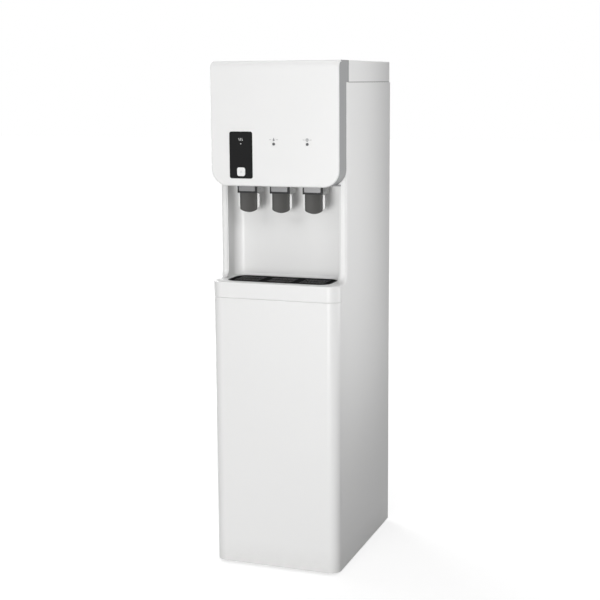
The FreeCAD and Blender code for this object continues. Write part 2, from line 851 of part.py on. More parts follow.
def make_head_front():
    panel = Piece("head_front_panel")
    across = half_width - size["head_inset"]
    low = size["head_bottom"]
    wrap_end = head_face + size["head_top_round"] + size["head_skin"]
    panel.block((-across, head_face, low), (across, wrap_end, top))
    panel.block(
        (-across - OVERCUT, skin_back, low - OVERCUT),
        (across + OVERCUT, wrap_end + OVERCUT, top - size["head_skin"]), cut=True,
    )
    panel.round(size["head_round"], x=[-across, across], z=[low])
    panel.round(size["head_top_round"], y=[head_face], z=[top])
    panel.round(size["head_top_round"] - size["head_skin"], y=[skin_back], z=[top - size["head_skin"]])
    panel.round(size["head_edge_round"], y=[head_face], x=[-across, across])
    centre = -size["tap_pitch"]
    reach = size["window_width"] / 2
    low_edge = size["window_bottom"]
    panel.slab(
        "XZ", head_face - OVERCUT, size["window_thickness"] + OVERCUT, (centre - reach, centre + reach),
        (low_edge, low_edge + size["window_height"]), [size["window_round"]] * 4, cut=True,
    )
    opening = size["button_size"] / 2 + size["button_gap"]
    panel.slab(
        "XZ", head_face - OVERCUT, size["head_skin"] + OVERCUT * 2, (centre - opening, centre + opening),
        (size["button_height"] - opening, size["button_height"] + opening),
        [size["button_round"] + size["button_gap"]] * 4, cut=True,
    )
    for x in tap_places.values():
        panel.rod(
            "y", (x, head_face - OVERCUT, size["light_height"]), size["light_radius"] + fit,
            size["head_skin"] + OVERCUT * 2, cut=True,
        )
    for x in (-size["tap_pitch"] * BOARD_LEFT, size["tap_pitch"] * BOARD_RIGHT):
        for z in (size["button_height"], size["light_height"]):
            panel.rod(
                "y", (x, skin_back - fit, z), size["light_radius"],
                front + size["board_depth"] - skin_back + fit,
            )


def make_head_controls():
    centre = -size["tap_pitch"]
    window = Piece("display_window")
    reach = size["window_width"] / 2 - fit
    low = size["window_bottom"] + fit
    window.slab(
        "XZ", head_face, size["window_thickness"], (centre - reach, centre + reach),
        (low, low + size["window_height"] - fit * 2), [size["window_round"] - fit] * 4,
    )
    opening = size["button_size"] / 2 + size["button_gap"]
    window.slab(
        "XZ", head_face - OVERCUT, size["window_thickness"] + OVERCUT * 2,
        (centre - opening, centre + opening),
        (size["button_height"] - opening, size["button_height"] + opening),
        [size["button_round"] + size["button_gap"]] * 4, cut=True,
    )
    button = Piece("lock_button")
    reach = size["button_size"] / 2
    face = head_face - size["button_proud"]
    button.slab(
        "XZ", face, size["button_length"], (centre - reach, centre + reach),
        (size["button_height"] - reach, size["button_height"] + reach), [size["button_round"]] * 4,
    )
    button.round(size["button_proud"] * BUTTON_EASE, y=[face])
    lights = Piece("indicator_lights")
    for x in tap_places.values():
        start = head_face + size["window_thickness"] if float(x) < 0 else head_face - fit
        lights.rod(
            "y", (x, start, size["light_height"]), size["light_radius"],
            front + size["board_depth"] - fit - start,
        )
    board = Piece("control_board")
    depth = front + size["board_depth"]
    edge = size["light_radius"] * 3
    chip_low = size["button_height"]
    board_right = size["tap_pitch"] * BOARD_RIGHT + edge
    board.block(
        (-size["tap_pitch"] * BOARD_LEFT - edge, depth, chip_low - edge),
        (board_right, depth + size["board_thickness"], size["light_height"] + edge),
    )
    for x in (-size["tap_pitch"] * CHIP_PLACE, size["tap_pitch"] * CHIP_PLACE):
        board.block((x - edge, depth, chip_low), (x + edge, depth + edge * CHIP_RISE, chip_low + edge * 2))


def make_shell_covers():
    cover = Piece("top_cover")
    low = size["cover_seam"] + size["cover_gap"]
    cover_front = front + size["cover_front"]
    cover.block((-half_width, cover_front, low), (half_width, back, top))
    cover.round(size["edge_round"], x=[-half_width, half_width], y=[back])
    cover.round(size["small_round"], z=[top], x=[-half_width, half_width])
    cover.block(
        (-half_width + wall, cover_front + wall, low - OVERCUT),
        (half_width - wall, back - wall, top - wall), cut=True,
    )
    lip_front = cover_front + size["cover_lip"] * 2
    lip_back = rear_face - size["cover_lip"] * 2
    lip_low = size["cover_seam"] - size["cover_lip"]
    lip_high = low + wall
    lip_near = half_width - wall * 2 - fit
    shelf_far = half_width - wall / 2
    cover.block((lip_near, lip_front, lip_low), (lip_near + wall, lip_back, lip_high))
    cover.block((lip_near, lip_front, low), (shelf_far, lip_back, lip_high))
    cover.block((-lip_near - wall, lip_front, lip_low), (-lip_near, lip_back, lip_high))
    cover.block((-shelf_far, lip_front, low), (-lip_near, lip_back, lip_high))
    rear = Piece("rear_panel")
    rear.block(
        (-inner_half, rear_face, size["rear_bottom"]), (inner_half, rear_outer, size["cover_seam"] - seam)
    )
    cut_from = rear_face - OVERCUT
    for side in (1, -1):
        for height in screw_heights:
            rear.rod(
                "y", (screw_x * side, cut_from, height), size["screw_radius"] + fit, OVERCUT * 3, cut=True
            )
    rear.rod("y", (inlet_x, cut_from, service), size["inlet_bore"] * 2 + fit, OVERCUT * 3, cut=True)
    rear.rod("y", (drain_x, cut_from, service), size["spigot_radius"] + fit, OVERCUT * 3, cut=True)
    rear.rod(
        "y", (-size["gland_offset"], cut_from, service), size["gland_bore"] * 2 + fit, OVERCUT * 3, cut=True
    )
    rear.block(
        (-size["rocker_width"], cut_from, service - size["rocker_height"] / 2 - wall),
        (size["rocker_width"], rear_outer + OVERCUT, service + size["rocker_height"] / 2 + wall), cut=True,
    )
    rear.rod(
        "y", (condenser_x, cut_from, liquid_height), size["condenser_tube"] + fit,
        OVERCUT * 3, cut=True,
    )
    screws = Piece("rear_screws")
    for side in (1, -1):
        for height in screw_heights:
            spot = (screw_x * side, rear_outer - size["screw_grip"], height)
            screws.rod("y", spot, size["screw_radius"], size["screw_grip"] + size["screw_radius"])
            screws.rod("y", (screw_x * side, rear_outer, height), size["screw_head"], size["screw_radius"])


def make_inner_frame():
    partition = Piece("inner_partition")
    partition.block(
        (-inner_half, partition_back - sheet_wall, base_floor_top),
        (inner_half, partition_back, size["ledge_seam"] - fit),
    )
    rim = size["base_rim"]
    for side in (1, -1):
        partition.block(
            ((inner_half + OVERCUT) * side, partition_back - OVERCUT, 0),
            ((inner_half - rim - fit) * side, partition_back + OVERCUT, base_top + fit), cut=True,
        )
    for x in (inlet_x, drain_x):
        partition.rod(
            "y", (x, partition_back - OVERCUT, head_port), size["tube_radius"] + fit, OVERCUT * 2, cut=True
        )
    mid = Piece("mid_shelf")
    low = size["mid_shelf_height"]
    mid.block((-inner_half, partition_back + fit, low), (inner_half, shelf_back, low + wall))
    stand = size["hot_tank_radius"] - size["stand_inset"]
    mid.rod("z", (0, tank_y, low), stand, size["stand_height"])
    mid.rod("z", (0, tank_y, low + wall), stand - wall, size["stand_height"], cut=True)
    upper = Piece("upper_shelf")
    low = size["head_bottom"]
    upper.block(
        (-inner_half, front + size["head_floor_back"] + fit, low), (inner_half, shelf_back, low + wall)
    )
    risers = [(riser_x, riser_y), (suction_x, tank_y)]
    for shelf, height, holes in (
        (mid, size["mid_shelf_height"], [*risers, (drain_x, tank_y)]), (upper, low, risers)
    ):
        for x, y in holes:
            shelf.rod("z", (x, y, height - OVERCUT), size["tube_radius"] + fit, OVERCUT * 3, cut=True)


def make_drip_tray():
    tray = Piece("drip_tray")
    high = size["ledge_height"]
    half_tray = size["tray_length"] / 2
    near = front + size["tray_front"]
    far = near + size["tray_width"]
    rim = size["tray_rim"]

    def outline(base, depth, inset, cut=False):
        tray.slab(
            "XY", base, depth, (-half_tray + inset, half_tray - inset), (near + inset, far - inset),
            [size["tray_round"] - inset] * 4, cut=cut,
        )

    outline(high - size["tray_height"], size["tray_height"], 0)
    outline(high - rim + fit, rim - fit, fit - rim)
    step = high - size["grille_height"] - fit
    outline(step, size["grille_height"] + OVERCUT, size["tray_wall"] / 2, cut=True)
    floor = high - size["tray_height"] + size["tray_wall"]
    outline(floor, size["tray_height"], size["tray_wall"] * 2, cut=True)

    grille = Piece("drip_grille")
    inset = size["tray_wall"] / 2 + fit
    grille.slab(
        "XY", step, size["grille_height"], (-half_tray + inset, half_tray - inset),
        (near + inset, far - inset),
        [size["tray_round"] - inset] * 4,
    )
    middle = (near + far) / 2
    reach = size["slot_pitch"] * (SIZES["slot_count"] - 1)
    radius = size["slot_width"] * SLOT_END
    for x in tap_places.values():
        for row in (-1, 1):
            start = x - reach / 2 - size["slot_width"] / 2
            centre = middle + (size["slot_length"] / 2 + wall) * row
            slot = grille.slab(
                "XY", step - OVERCUT, size["grille_height"] + OVERCUT * 2,
                (start, start + size["slot_width"]),
                (centre - size["slot_length"] / 2, centre + size["slot_length"] / 2), [radius] * 4, cut=True,
            )
            grille.repeat(slot, reach, size["slot_count"])


def make_fixed_tap_pieces():
    spouts = Piece("tap_spouts")
    plates = Piece("spout_plates")
    pins = Piece("tap_pins")
    switches = Piece("lever_switches")
    high = size["head_bottom"]
    low = high - size["spout_drop"]
    near = front + size["spout_front"]
    nozzle_y = front + size["nozzle_depth"]
    bore = size["nozzle_radius"] - size["nozzle_wall"]
    reach = size["spout_width"] / 2
    tip = front + size["pivot_depth"] - size["pin_radius"] - fit
    switch_back = tip - size["plunger_length"] + size["plunger_lead"]
    for x in tap_places.values():
        spouts.block((x - reach, near, low), (x + reach, front + size["spout_back"], high))
        cavity = size["hub_cavity_width"] / 2
        spouts.block(
            (x - cavity, front + size["hub_cavity_front"], low - OVERCUT),
            (x + cavity, front + size["hub_cavity_back"], high + OVERCUT), cut=True,
        )
        elbow_end = front + size["hub_cavity_front"]
        spouts.rod(
            "z", (x, nozzle_y, high - wall), size["barb_radius"], size["barb_height"] - high + wall * 2
        )
        spouts.rod("y", (x, nozzle_y, size["barb_height"]), size["barb_radius"] - fit, elbow_end - nozzle_y)
        spouts.rod(
            "z", (x, nozzle_y, low - OVERCUT), bore, size["barb_height"] - low + OVERCUT, cut=True
        )
        spouts.rod("y", (x, nozzle_y, size["barb_height"]), bore, OVERCUT * 3, cut=True)
        spouts.rod(
            "x", (x - reach - OVERCUT, front + size["pivot_depth"], size["pivot_height"]),
            size["pin_radius"] + size["pin_grip"], size["spout_width"] + OVERCUT * 2, cut=True,
        )
        pins.rod(
            "x", (x - reach, front + size["pivot_depth"], size["pivot_height"]), size["pin_radius"],
            size["spout_width"],
        )
        half_plate = size["plate_width"] / 2
        plates.slab(
            "XZ", near - size["plate_thickness"], size["plate_thickness"], (x - half_plate, x + half_plate),
            (high - fit - size["plate_height"], high - fit), [size["small_round"]] * 4,
        )
        contact = x + size["tongue_offset"]
        half_switch = size["switch_width"] / 2
        switches.block(
            (contact - half_switch, switch_back - size["switch_depth"], head_floor_top),
            (contact + half_switch, switch_back, head_floor_top + size["switch_height"]),
        )
        switches.rod(
            "y",
            (contact, switch_back - size["plunger_length"] - size["plunger_sink"], size["plunger_height"]),
            size["plunger_radius"] + size["pin_play"], size["plunger_length"] * 2, cut=True,
        )


def make_lever(name, x):
    """Paddle lever on its pin, the dark pad on its front and the switch plunger it works."""
    lever = Piece(f"tap_lever_{name}")
    pivot_y = front + size["pivot_depth"]
    near = front + size["lever_front"]
    high = size["head_bottom"] - size["spout_drop"] - size["lever_gap"]
    reach = size["lever_width"] / 2
    arm = size["hub_width"] / 2
    lever.slab(
        "XZ", near, size["lever_thickness"], (x - reach, x + reach), (size["lever_bottom"], high),
        (size["pad_round"] / 2, size["pad_round"] / 2, size["small_round"], size["small_round"]),
    )
    lever.rod("x", (x - arm, pivot_y, size["pivot_height"]), size["hub_radius"], size["hub_width"])
    lever.block(
        (x - arm, near + size["lever_thickness"] / 2, high - size["lever_thickness"] * 3),
        (x + arm, pivot_y - size["pin_radius"] - fit, size["pivot_height"]),
    )
    contact = x + size["tongue_offset"]
    lever.block(
        (contact - size["tongue_width"] / 2, pivot_y - size["pin_radius"], size["pivot_height"]),
        (contact + size["tongue_width"] / 2, pivot_y + size["pin_radius"], size["tongue_top"]),
    )
    lever.rod(
        "x", (x - arm - OVERCUT, pivot_y, size["pivot_height"]), size["pin_radius"] + size["pin_play"],
        size["hub_width"] + OVERCUT * 2, cut=True,
    )
    pad = Piece(f"lever_pad_{name}")
    half_pad = size["pad_width"] / 2
    pad_front = near - size["pad_thickness"]
    outline = pad.sketch("XZ", pad_front)
    draw_tongue(
        outline, (x - half_pad, x + half_pad), (size["pad_bottom"], high + size["small_round"] / 4),
        size["pad_sag"],
    )
    pad.extrude(outline, "XZ", size["pad_thickness"], False)
    pad.round(
        size["small_round"] * 2, x=[x - half_pad, x + half_pad], z=[size["pad_bottom"] + size["pad_sag"]]
    )
    pad.rod(
        "z",
        (x, pad_front - size["pad_hollow_radius"] + size["pad_hollow_depth"], size["pad_bottom"] - OVERCUT),
        size["pad_hollow_radius"], size["head_bottom"] - size["pad_bottom"], cut=True,
    )
    plunger = Piece(f"switch_plunger_{name}")
    tip = pivot_y - size["pin_radius"] - fit
    plunger.rod(
        "y", (contact, tip - size["plunger_length"], size["plunger_height"]), size["plunger_radius"],
        size["plunger_length"],
    )


def make_dispense_valves():
    valves = Piece("dispense_valves")
    near = front + size["head_floor_back"] + wall
    depth = size["valve_depth"]
    coil_low = head_floor_top + size["valve_height"]
    half_valve = size["spout_width"] / 4
    port = size["valve_port"]
    for x in tap_places.values():
        valves.block((x - half_valve, near, head_floor_top), (x + half_valve, near + depth, coil_low))
        valves.rod("z", (x, near + depth / 2, coil_low), half_valve, half_valve * 2)
        valves.rod("y", (x, near - port, size["barb_height"]), size["barb_radius"] - fit, port + fit)


def make_cold_side():
    foam_half = size["foam_width"] / 2
    foam_round = [size["foam_round"]] * 4
    foam_across = (-foam_half, foam_half)
    foam_along = (foam_near, foam_far)
    foam = Piece("tank_insulation")
    low = head_floor_top
    foam.slab("XY", low, size["foam_top"] - low, foam_across, foam_along, foam_round)
    bore = size["evaporator_radius"] + fit * 2
    foam.rod("z", (0, tank_y, low + size["foam_floor"]), bore, size["foam_top"], cut=True)
    port_length = size["foam_floor"] + OVERCUT * 2
    foam.rod("z", (0, tank_y, low - OVERCUT), size["barb_radius"] + fit * 2, port_length, cut=True)
    tank = Piece("cold_tank")
    tank_low = low + size["foam_floor"] + fit
    inside = size["cold_tank_radius"] - size["tank_wall"]
    tank.rod("z", (0, tank_y, tank_low), size["cold_tank_radius"], size["cold_tank_height"])
    tank.round(size["small_round"], z=[tank_low])
    tank.rod("z", (0, tank_y, tank_low + size["tank_wall"]), inside, size["cold_tank_height"], cut=True)
    stub = size["foam_floor"] - wall
    tank.rod("z", (0, tank_y, tank_low - stub), size["barb_radius"], stub)
    coil = Piece("evaporator")
    coil_height = size["cold_tank_height"] - size["coil_rise"] - size["coil_top_gap"]
    coil.rod("z", (0, tank_y, tank_low + size["coil_rise"]), size["evaporator_radius"], coil_height)
    coil.rod("z", (0, tank_y, tank_low), size["cold_tank_radius"] + fit, size["cold_tank_height"], cut=True)
    lid = Piece("cold_tank_lid")
    lid_low = tank_low + size["cold_tank_height"] + fit
    axle = size["float_height"]
    lid.rod("z", (0, tank_y, lid_low), size["lid_radius"], wall - fit)
    post_low = axle + size["post_rise"]
    lid.rod("z", (post_x, tank_y, post_low), size["valve_post_radius"], size["cap_top"] - wall - post_low)
    cheek = size["cheek_reach"]
    for side in (1, -1):
        lid.block(
            (post_x - cheek, tank_y + size["cheek_inner"] * side, axle - size["cheek_below"]),
            (post_x + cheek, tank_y + size["cheek_outer"] * side, axle + size["cheek_above"]),
        )
    lid.rod("y", (post_x, tank_y - size["cheek_outer"], axle), size["pin_radius"], size["cheek_outer"] * 2)
    cap = Piece("insulation_cap")
    cap_low = size["foam_top"] + fit
    cap_height = size["cap_top"] - cap_low
    cap.slab("XY", cap_low, cap_height, foam_across, foam_along, foam_round)
    cap.rod(
        "z", (post_x, tank_y, cap_low - OVERCUT), size["valve_post_radius"] + fit,
        cap_height + OVERCUT * 2, cut=True,
    )
    cap.rod(
        "x", (-foam_half - OVERCUT, tank_y, feed_height), size["tube_radius"] + fit,
        foam_half + post_x + OVERCUT, cut=True,
    )
    arm = Piece("float_arm")
    hub = size["cheek_inner"] - size["hub_side_gap"]
    arm.rod("y", (post_x, tank_y - hub, axle), size["hub_radius"], hub * 2)
    blade = size["blade_half"]
    arm_end = post_x + size["float_arm_length"]
    arm.block((post_x, tank_y - blade, axle - blade), (arm_end, tank_y + blade, axle + blade / 2))
    arm.rod(
        "z", (arm_end + size["float_radius"] / 2, tank_y, axle - size["float_sink"]), size["float_radius"],
        size["float_body"],
    )
    arm.rod(
        "y", (post_x, tank_y - hub - OVERCUT, axle), size["pin_radius"] + size["pin_play"],
        (hub + OVERCUT) * 2,
        cut=True,
    )


def make_hot_side():
    tank = Piece("hot_tank")
    low = size["hot_tank_bottom"]
    radius = size["hot_tank_radius"]
    high = low + size["hot_tank_height"]
    port = size["port_reach"]
    tank.rod("z", (0, tank_y, low), radius, size["hot_tank_height"])
    tank.round(size["small_round"], z=[low, high])
    tank.rod("z", (0, tank_y, high - OVERCUT), size["barb_radius"], port + OVERCUT * 2)
    tank.rod("x", (-radius - port, tank_y, drain_height), size["barb_radius"], port + size["tank_wall"])
    tank.rod(
        "z", (0, tank_y, low + size["tank_wall"]), radius - size["tank_wall"],
        size["hot_tank_height"] - size["tank_wall"] * 2, cut=True,
    )
    tank.rod(
        "z", (0, tank_y, high - OVERCUT * 2), size["barb_radius"] - size["tank_wall"],
        port + OVERCUT * 4, cut=True,
    )
    heater = Piece("band_heater")
    band_low = size["heater_bottom"]
    inner = radius + fit
    outer = inner + size["heater_thickness"]
    clamp = size["clamp_half"]
    heater.rod("z", (0, tank_y, band_low), outer, size["heater_height"])
    heater.block(
        (-clamp, tank_y + radius, band_low + clamp),
        (clamp, tank_y + outer + size["clamp_reach"], band_low + size["heater_height"] - clamp),
    )
    heater.rod("z", (0, tank_y, band_low - OVERCUT), inner, size["heater_height"] + OVERCUT * 2, cut=True)


def make_filters():
    head = Piece("filter_head")
    spots = {"sediment": -size["filter_pitch"], "carbon": 0, "polishing": size["filter_pitch"]}
    filter_y = front + size["filter_depth"]
    radius = size["filter_radius"]
    reach = size["filter_pitch"] + radius
    head_low = size["filter_head_bottom"]
    head.block(
        (-reach, filter_y - radius, head_low),
        (reach, partition_back - sheet_wall - fit, size["filter_head_top"]),
    )
    socket = size["socket_depth"]
    body_low = size["filter_bottom"] + size["grip_height"]
    body_high = size["filter_top"]
    grip = radius * GRIP_SHARE
    for label, x in spots.items():
        head.rod(
            "z", (x, filter_y, head_low - OVERCUT), size["filter_neck"] + fit, socket + OVERCUT, cut=True
        )
        cartridge = Piece(f"{label}_filter")
        cartridge.rod("z", (x, filter_y, body_low), radius, body_high - body_low)
        cartridge.round(size["small_round"] * 3, z=[body_low, body_high])
        cartridge.rod(
            "z", (x, filter_y, body_high - wall), size["filter_neck"],
            head_low + socket - fit - body_high + wall,
        )
        cartridge.block(
            (x - grip, filter_y - wall, size["filter_bottom"]), (x + grip, filter_y + wall, body_low + wall)
        )


def make_inlet():
    fitting = Piece("inlet_fitting")
    body_radius = size["inlet_bore"] * 2
    flange = body_radius + size["flange_lip"]
    inner_end = rear_face - size["fitting_reach"]
    fitting.rod(
        "y", (inlet_x, inner_end, service), body_radius, rear_outer + size["inlet_bore_length"] - inner_end
    )
    fitting.rod("y", (inlet_x, rear_outer, service), flange, size["flange_thickness"])
    fitting.rod("y", (inlet_x, rear_face - size["nut_thickness"], service), flange, size["nut_thickness"])
    fitting.rod(
        "y", (inlet_x, rear_outer, service), size["inlet_bore"], size["inlet_bore_length"] + OVERCUT, cut=True
    )
    valve = Piece("inlet_valve")
    half = size["inlet_valve_half"]
    rise = size["inlet_valve_rise"]
    valve.block(
        (inlet_x - half, partition_back, service - rise),
        (inlet_x + half, partition_back + size["inlet_valve_depth"], service + rise),
    )
    coil = size["solenoid_radius"]
    valve.rod(
        "z", (inlet_x - half + coil, partition_back + size["inlet_valve_depth"] / 2, service + rise), coil,
        size["solenoid_height"],
    )


def make_water_tubes():
    tubes = Tubing("water_tubes")
    bend = size["tube_bend"]
    radius = size["tube_radius"]
    inner_end = rear_face - size["fitting_reach"] - touch
    valve_end = partition_back + size["inlet_valve_depth"]
    tubes.tube([(inlet_x, inner_end, service), (inlet_x, valve_end + touch, service)], radius, bend)
    port_y = partition_back - sheet_wall - fit + touch
    rise_y = partition_back + size["inlet_valve_depth"] / 2
    lift_x = inlet_x + size["lift_shift"]
    jog_height = head_port - size["tube_jog"]
    tubes.tube(
        [
            (lift_x, rise_y, service + size["inlet_valve_rise"] + touch),
            (lift_x, rise_y, jog_height),
            (inlet_x, rise_y, jog_height),
            (inlet_x, rise_y, head_port),
            (inlet_x, port_y, head_port),
        ],
        radius, bend * TIGHT_BEND,
    )
    tubes.tube(
        [
            (drain_x, port_y, head_port),
            (drain_x, riser_y, head_port),
            (riser_x, riser_y, head_port),
            (riser_x, riser_y, feed_height),
            (riser_x, tank_y, feed_height),
            (post_x - size["valve_post_radius"] - touch, tank_y, feed_height),
        ],
        radius, bend,
    )
    tubes.tube(
        [
            (-size["hot_tank_radius"] - size["port_reach"] - touch, tank_y, drain_height),
            (drain_x, tank_y, drain_height),
            (drain_x, tank_y, service),
            (drain_x, inner_end, service),
        ],
        radius, bend,
    )
    hose_start = front + size["hub_cavity_front"] + touch
    hose_end = front + size["head_floor_back"] + wall - size["valve_port"] - touch
    for x in tap_places.values():
        tubes.tube(
            [(x, hose_start, size["barb_height"]), (x, hose_end, size["barb_height"])],
            size["barb_radius"], bend,
        )
    tubes.finish()


def make_drain():
    spigot = Piece("drain_spigot")
    radius = size["spigot_radius"]
    flange = radius + size["flange_lip"]
    inner_end = rear_face - size["fitting_reach"]
    spigot.rod("y", (drain_x, inner_end, service), radius, rear_outer + size["spigot_reach"] - inner_end)
    spigot.rod("y", (drain_x, rear_outer, service), flange, wall)
    spigot.rod("y", (drain_x, rear_face - size["nut_thickness"], service), flange, size["nut_thickness"])
    cap = Piece("drain_cap")
    cap_y = rear_outer + wall + fit
    length = size["cap_length"]
    cap.rod("y", (drain_x, cap_y, service), flange, length)
    cap.round(size["small_round"], y=[cap_y + length])
    cap.rod(
        "y", (drain_x, cap_y - OVERCUT, service), radius + size["pin_play"],
        length - size["cap_end"] + OVERCUT,
        cut=True,
    )


def make_compressor():
    low = size["compressor_bottom"]
    radius = size["compressor_radius"]
    compressor = Piece("compressor")
    compressor.rod("z", (0, compressor_y, low), radius, size["compressor_height"])
    compressor.round(radius * DOME_SHARE, z=[low + size["compressor_height"]])
    foot_x = radius + size["mount_spread"]
    foot_y = radius * FOOT_SHARE
    edge = size["mount_radius"] + wall
    compressor.block(
        (-foot_x - edge, compressor_y - foot_y - edge, low - wall),
        (foot_x + edge, compressor_y + foot_y + edge, low),
    )
    mounts = Piece("compressor_mounts")
    for x in (-foot_x, foot_x):
        for y in (compressor_y - foot_y, compressor_y + foot_y):
            mounts.rod("z", (x, y, base_floor_top), size["mount_radius"], low - wall - base_floor_top)


def make_refrigerant_lines():
    low = size["compressor_bottom"]
    shell = size["compressor_radius"] + touch
    discharge_height = low + size["compressor_height"] * DISCHARGE_SHARE
    suction_height = low + size["compressor_height"] * SUCTION_SHARE
    lines = Tubing("refrigerant_lines")
    lines.tube(
        [
            (shell, compressor_y, discharge_height),
            (condenser_x, compressor_y, discharge_height),
            (condenser_x, condenser_y, discharge_height),
            (condenser_x, condenser_y, size["condenser_bottom"] - size["condenser_tail"] - touch),
        ],
        size["condenser_tube"], size["tube_bend"],
    )
    leave_height = head_floor_top + size["suction_rise"]
    lines.tube(
        [
            (size["foam_width"] / 2 + touch, tank_y, leave_height),
            (suction_x, tank_y, leave_height),
            (suction_x, tank_y, suction_height),
            (suction_x, compressor_y, suction_height),
            (shell, compressor_y, suction_height),
        ],
        size["line_radius"], size["line_radius"] * 2,
    )
    lines.finish()


def make_condenser():
    """Serpentine tube with vertical wires across it, on two strips against the rear panel."""
    condenser = Tubing("condenser")
    low = size["condenser_bottom"]
    high = size["condenser_top"]
    bend = size["tube_bend"]
    passes = SIZES["condenser_passes"]
    pitch = (high - low) / (passes - 1)
    route = [(condenser_x, condenser_y, low - size["condenser_tail"])]
    for number in range(passes):
        ends = (condenser_x, -condenser_x) if number % 2 == 0 else (-condenser_x, condenser_x)
        route += [(end, condenser_y, low + pitch * number) for end in ends]
    route.append((condenser_x, condenser_y, liquid_height))
    route.append((condenser_x, foam_far + touch, liquid_height))
    condenser.tube(route, size["condenser_tube"], bend)
    wire_y = condenser_y + size["condenser_tube"] + size["wire_radius"] + size["weld_gap"]
    wire_low = low - size["wire_overrun"]
    wire_high = high + size["wire_overrun"]
    reach = condenser_x - bend * 2
    for number in range(SIZES["wire_count"]):
        x = -reach + reach * (2 * number / (SIZES["wire_count"] - 1))
        condenser.tube([(x, wire_y, wire_low), (x, wire_y, wire_high)], size["wire_radius"], bend)
    strip_depth = size["condenser_offset"] - size["condenser_tube"] - size["weld_gap"] * 2
    for side in (-1, 1):
        spot = (reach * side - bend / 2, rear_outer + size["weld_gap"], wire_low)
        corner = FreeCAD.Vector(*(float(amount) for amount in spot))
        condenser.shapes.append(
            Part.makeBox(float(bend), float(strip_depth), float(wire_high - wire_low), corner)
        )
    condenser.finish()


def make_electrics():
    box = Piece("power_box")
    half = size["power_box_half"]
    box_top = size["ledge_seam"] - size["power_box_drop"]
    box_back = partition_back + size["power_box_depth"]
    box.block((-half, partition_back, box_top - size["power_box_height"]), (half, box_back, box_top))
    box.round(size["small_round"] * 2, y=[box_back])
    gland = Piece("cord_gland")
    gland_x = -size["gland_offset"]
    bore = size["gland_bore"]
    outer = bore * 2
    grip = size["gland_grip"]
    collar = size["gland_collar"]
    gland.rod("y", (gland_x, rear_face - grip, service), outer, grip + sheet_wall)
    gland.rod("y", (gland_x, rear_outer, service), outer + size["gland_lip"], collar)
    gland.rod("y", (gland_x, rear_outer + collar, service), outer - sheet_wall, size["gland_nose"])
    gland.rod("y", (gland_x, rear_face - grip, service), outer + size["gland_lip"], grip)
    gland_length = grip + sheet_wall + collar + size["gland_nose"]
    gland.rod("y", (gland_x, rear_face - grip - OVERCUT, service), bore, gland_length + OVERCUT * 2, cut=True)
    housing = Piece("switch_housing")
    half_x = size["rocker_width"] / 2
    half_z = size["rocker_height"] / 2
    sides = half_x + size["switch_box_wall"]
    housing.block(
        (-sides, rear_face - size["switch_box_depth"], service - half_z - wall + fit),
        (sides, rear_outer, service + half_z + wall - fit),
    )
    bezel = sides + wall
    bezel_rise = half_z + wall * 2
    housing.block(
        (-bezel, rear_outer, service - bezel_rise),
        (bezel, rear_outer + size["bezel_thickness"], service + bezel_rise),
    )
    slack = half_x + size["rocker_side_gap"]
    swing = half_z + size["rocker_clearance"]
    cavity_back = rear_face - size["switch_box_depth"] + size["switch_box_wall"]
    housing.block(
        (-slack, cavity_back, service - swing), (slack, rear_outer + OVERCUT, service + swing), cut=True
    )
    pivot_y = rear_outer - size["rocker_depth"] / 2
    trunnion = half_x + size["trunnion_length"]
    socket = trunnion + size["rocker_side_gap"]
    housing.rod("x", (-socket, pivot_y, service), size["pin_radius"] + size["pin_play"], socket * 2, cut=True)
    rocker = Piece("switch_rocker")
    rocker_face = rear_outer + size["rocker_proud"]
    rocker.block(
        (-half_x, pivot_y - size["small_round"], service - half_z), (half_x, rocker_face, service + half_z)
    )
    rocker.round(size["small_round"], y=[rocker_face], z=[service - half_z, service + half_z])
    rocker.rod("x", (-trunnion, pivot_y, service), size["pin_radius"], trunnion * 2)
    tilt = FreeCAD.Rotation(FreeCAD.Vector(1, 0, 0), float(size["rocker_tilt"]))
    pivot = FreeCAD.Vector(0, float(pivot_y), float(service))
    rocker.body.Placement = FreeCAD.Placement(FreeCAD.Vector(), tilt, pivot)


make_base()
make_side_panel("side_panel_right", 1)
make_side_panel("side_panel_left", -1)
make_lower_front()
make_drip_ledge()
make_alcove_liner()
make_head_housing()
make_head_front()
make_head_controls()
make_shell_covers()
make_inner_frame()
make_drip_tray()
make_fixed_tap_pieces()
for tap, place in tap_places.items():
    make_lever(tap, place)
make_dispense_valves()
make_cold_side()
make_hot_side()
make_filters()
make_inlet()
make_water_tubes()
make_drain()
make_compressor()
make_refrigerant_lines()
make_condenser()
make_electrics()
doc.recompute()

CUTS = ("PartDesign::Pocket", "PartDesign::SubtractiveBox", "PartDesign::SubtractiveCylinder")
for item in doc.Objects:
    if {"Invalid", "Error"} & set(item.State):
        raise RuntimeError(f"{item.Label}: {item.State}")
    if item.TypeId in CUTS and item.Shape.Volume >= item.BaseFeature.Shape.Volume - TOLERANCE:
        raise RuntimeError(f"{item.Label} cuts nothing")

os.makedirs("parts", exist_ok=True)
for piece in pieces:
    shape = piece.shape()
    if shape.isNull() or not shape.isValid() or not shape.Solids:
        raise RuntimeError(f"{piece.label} has no sound solid")
    shape.exportStep(f"parts/{piece.label}.step")
print(f"{len(pieces)} nodes written")
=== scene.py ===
import bpy
import json
import math
from mathutils import Matrix, Vector


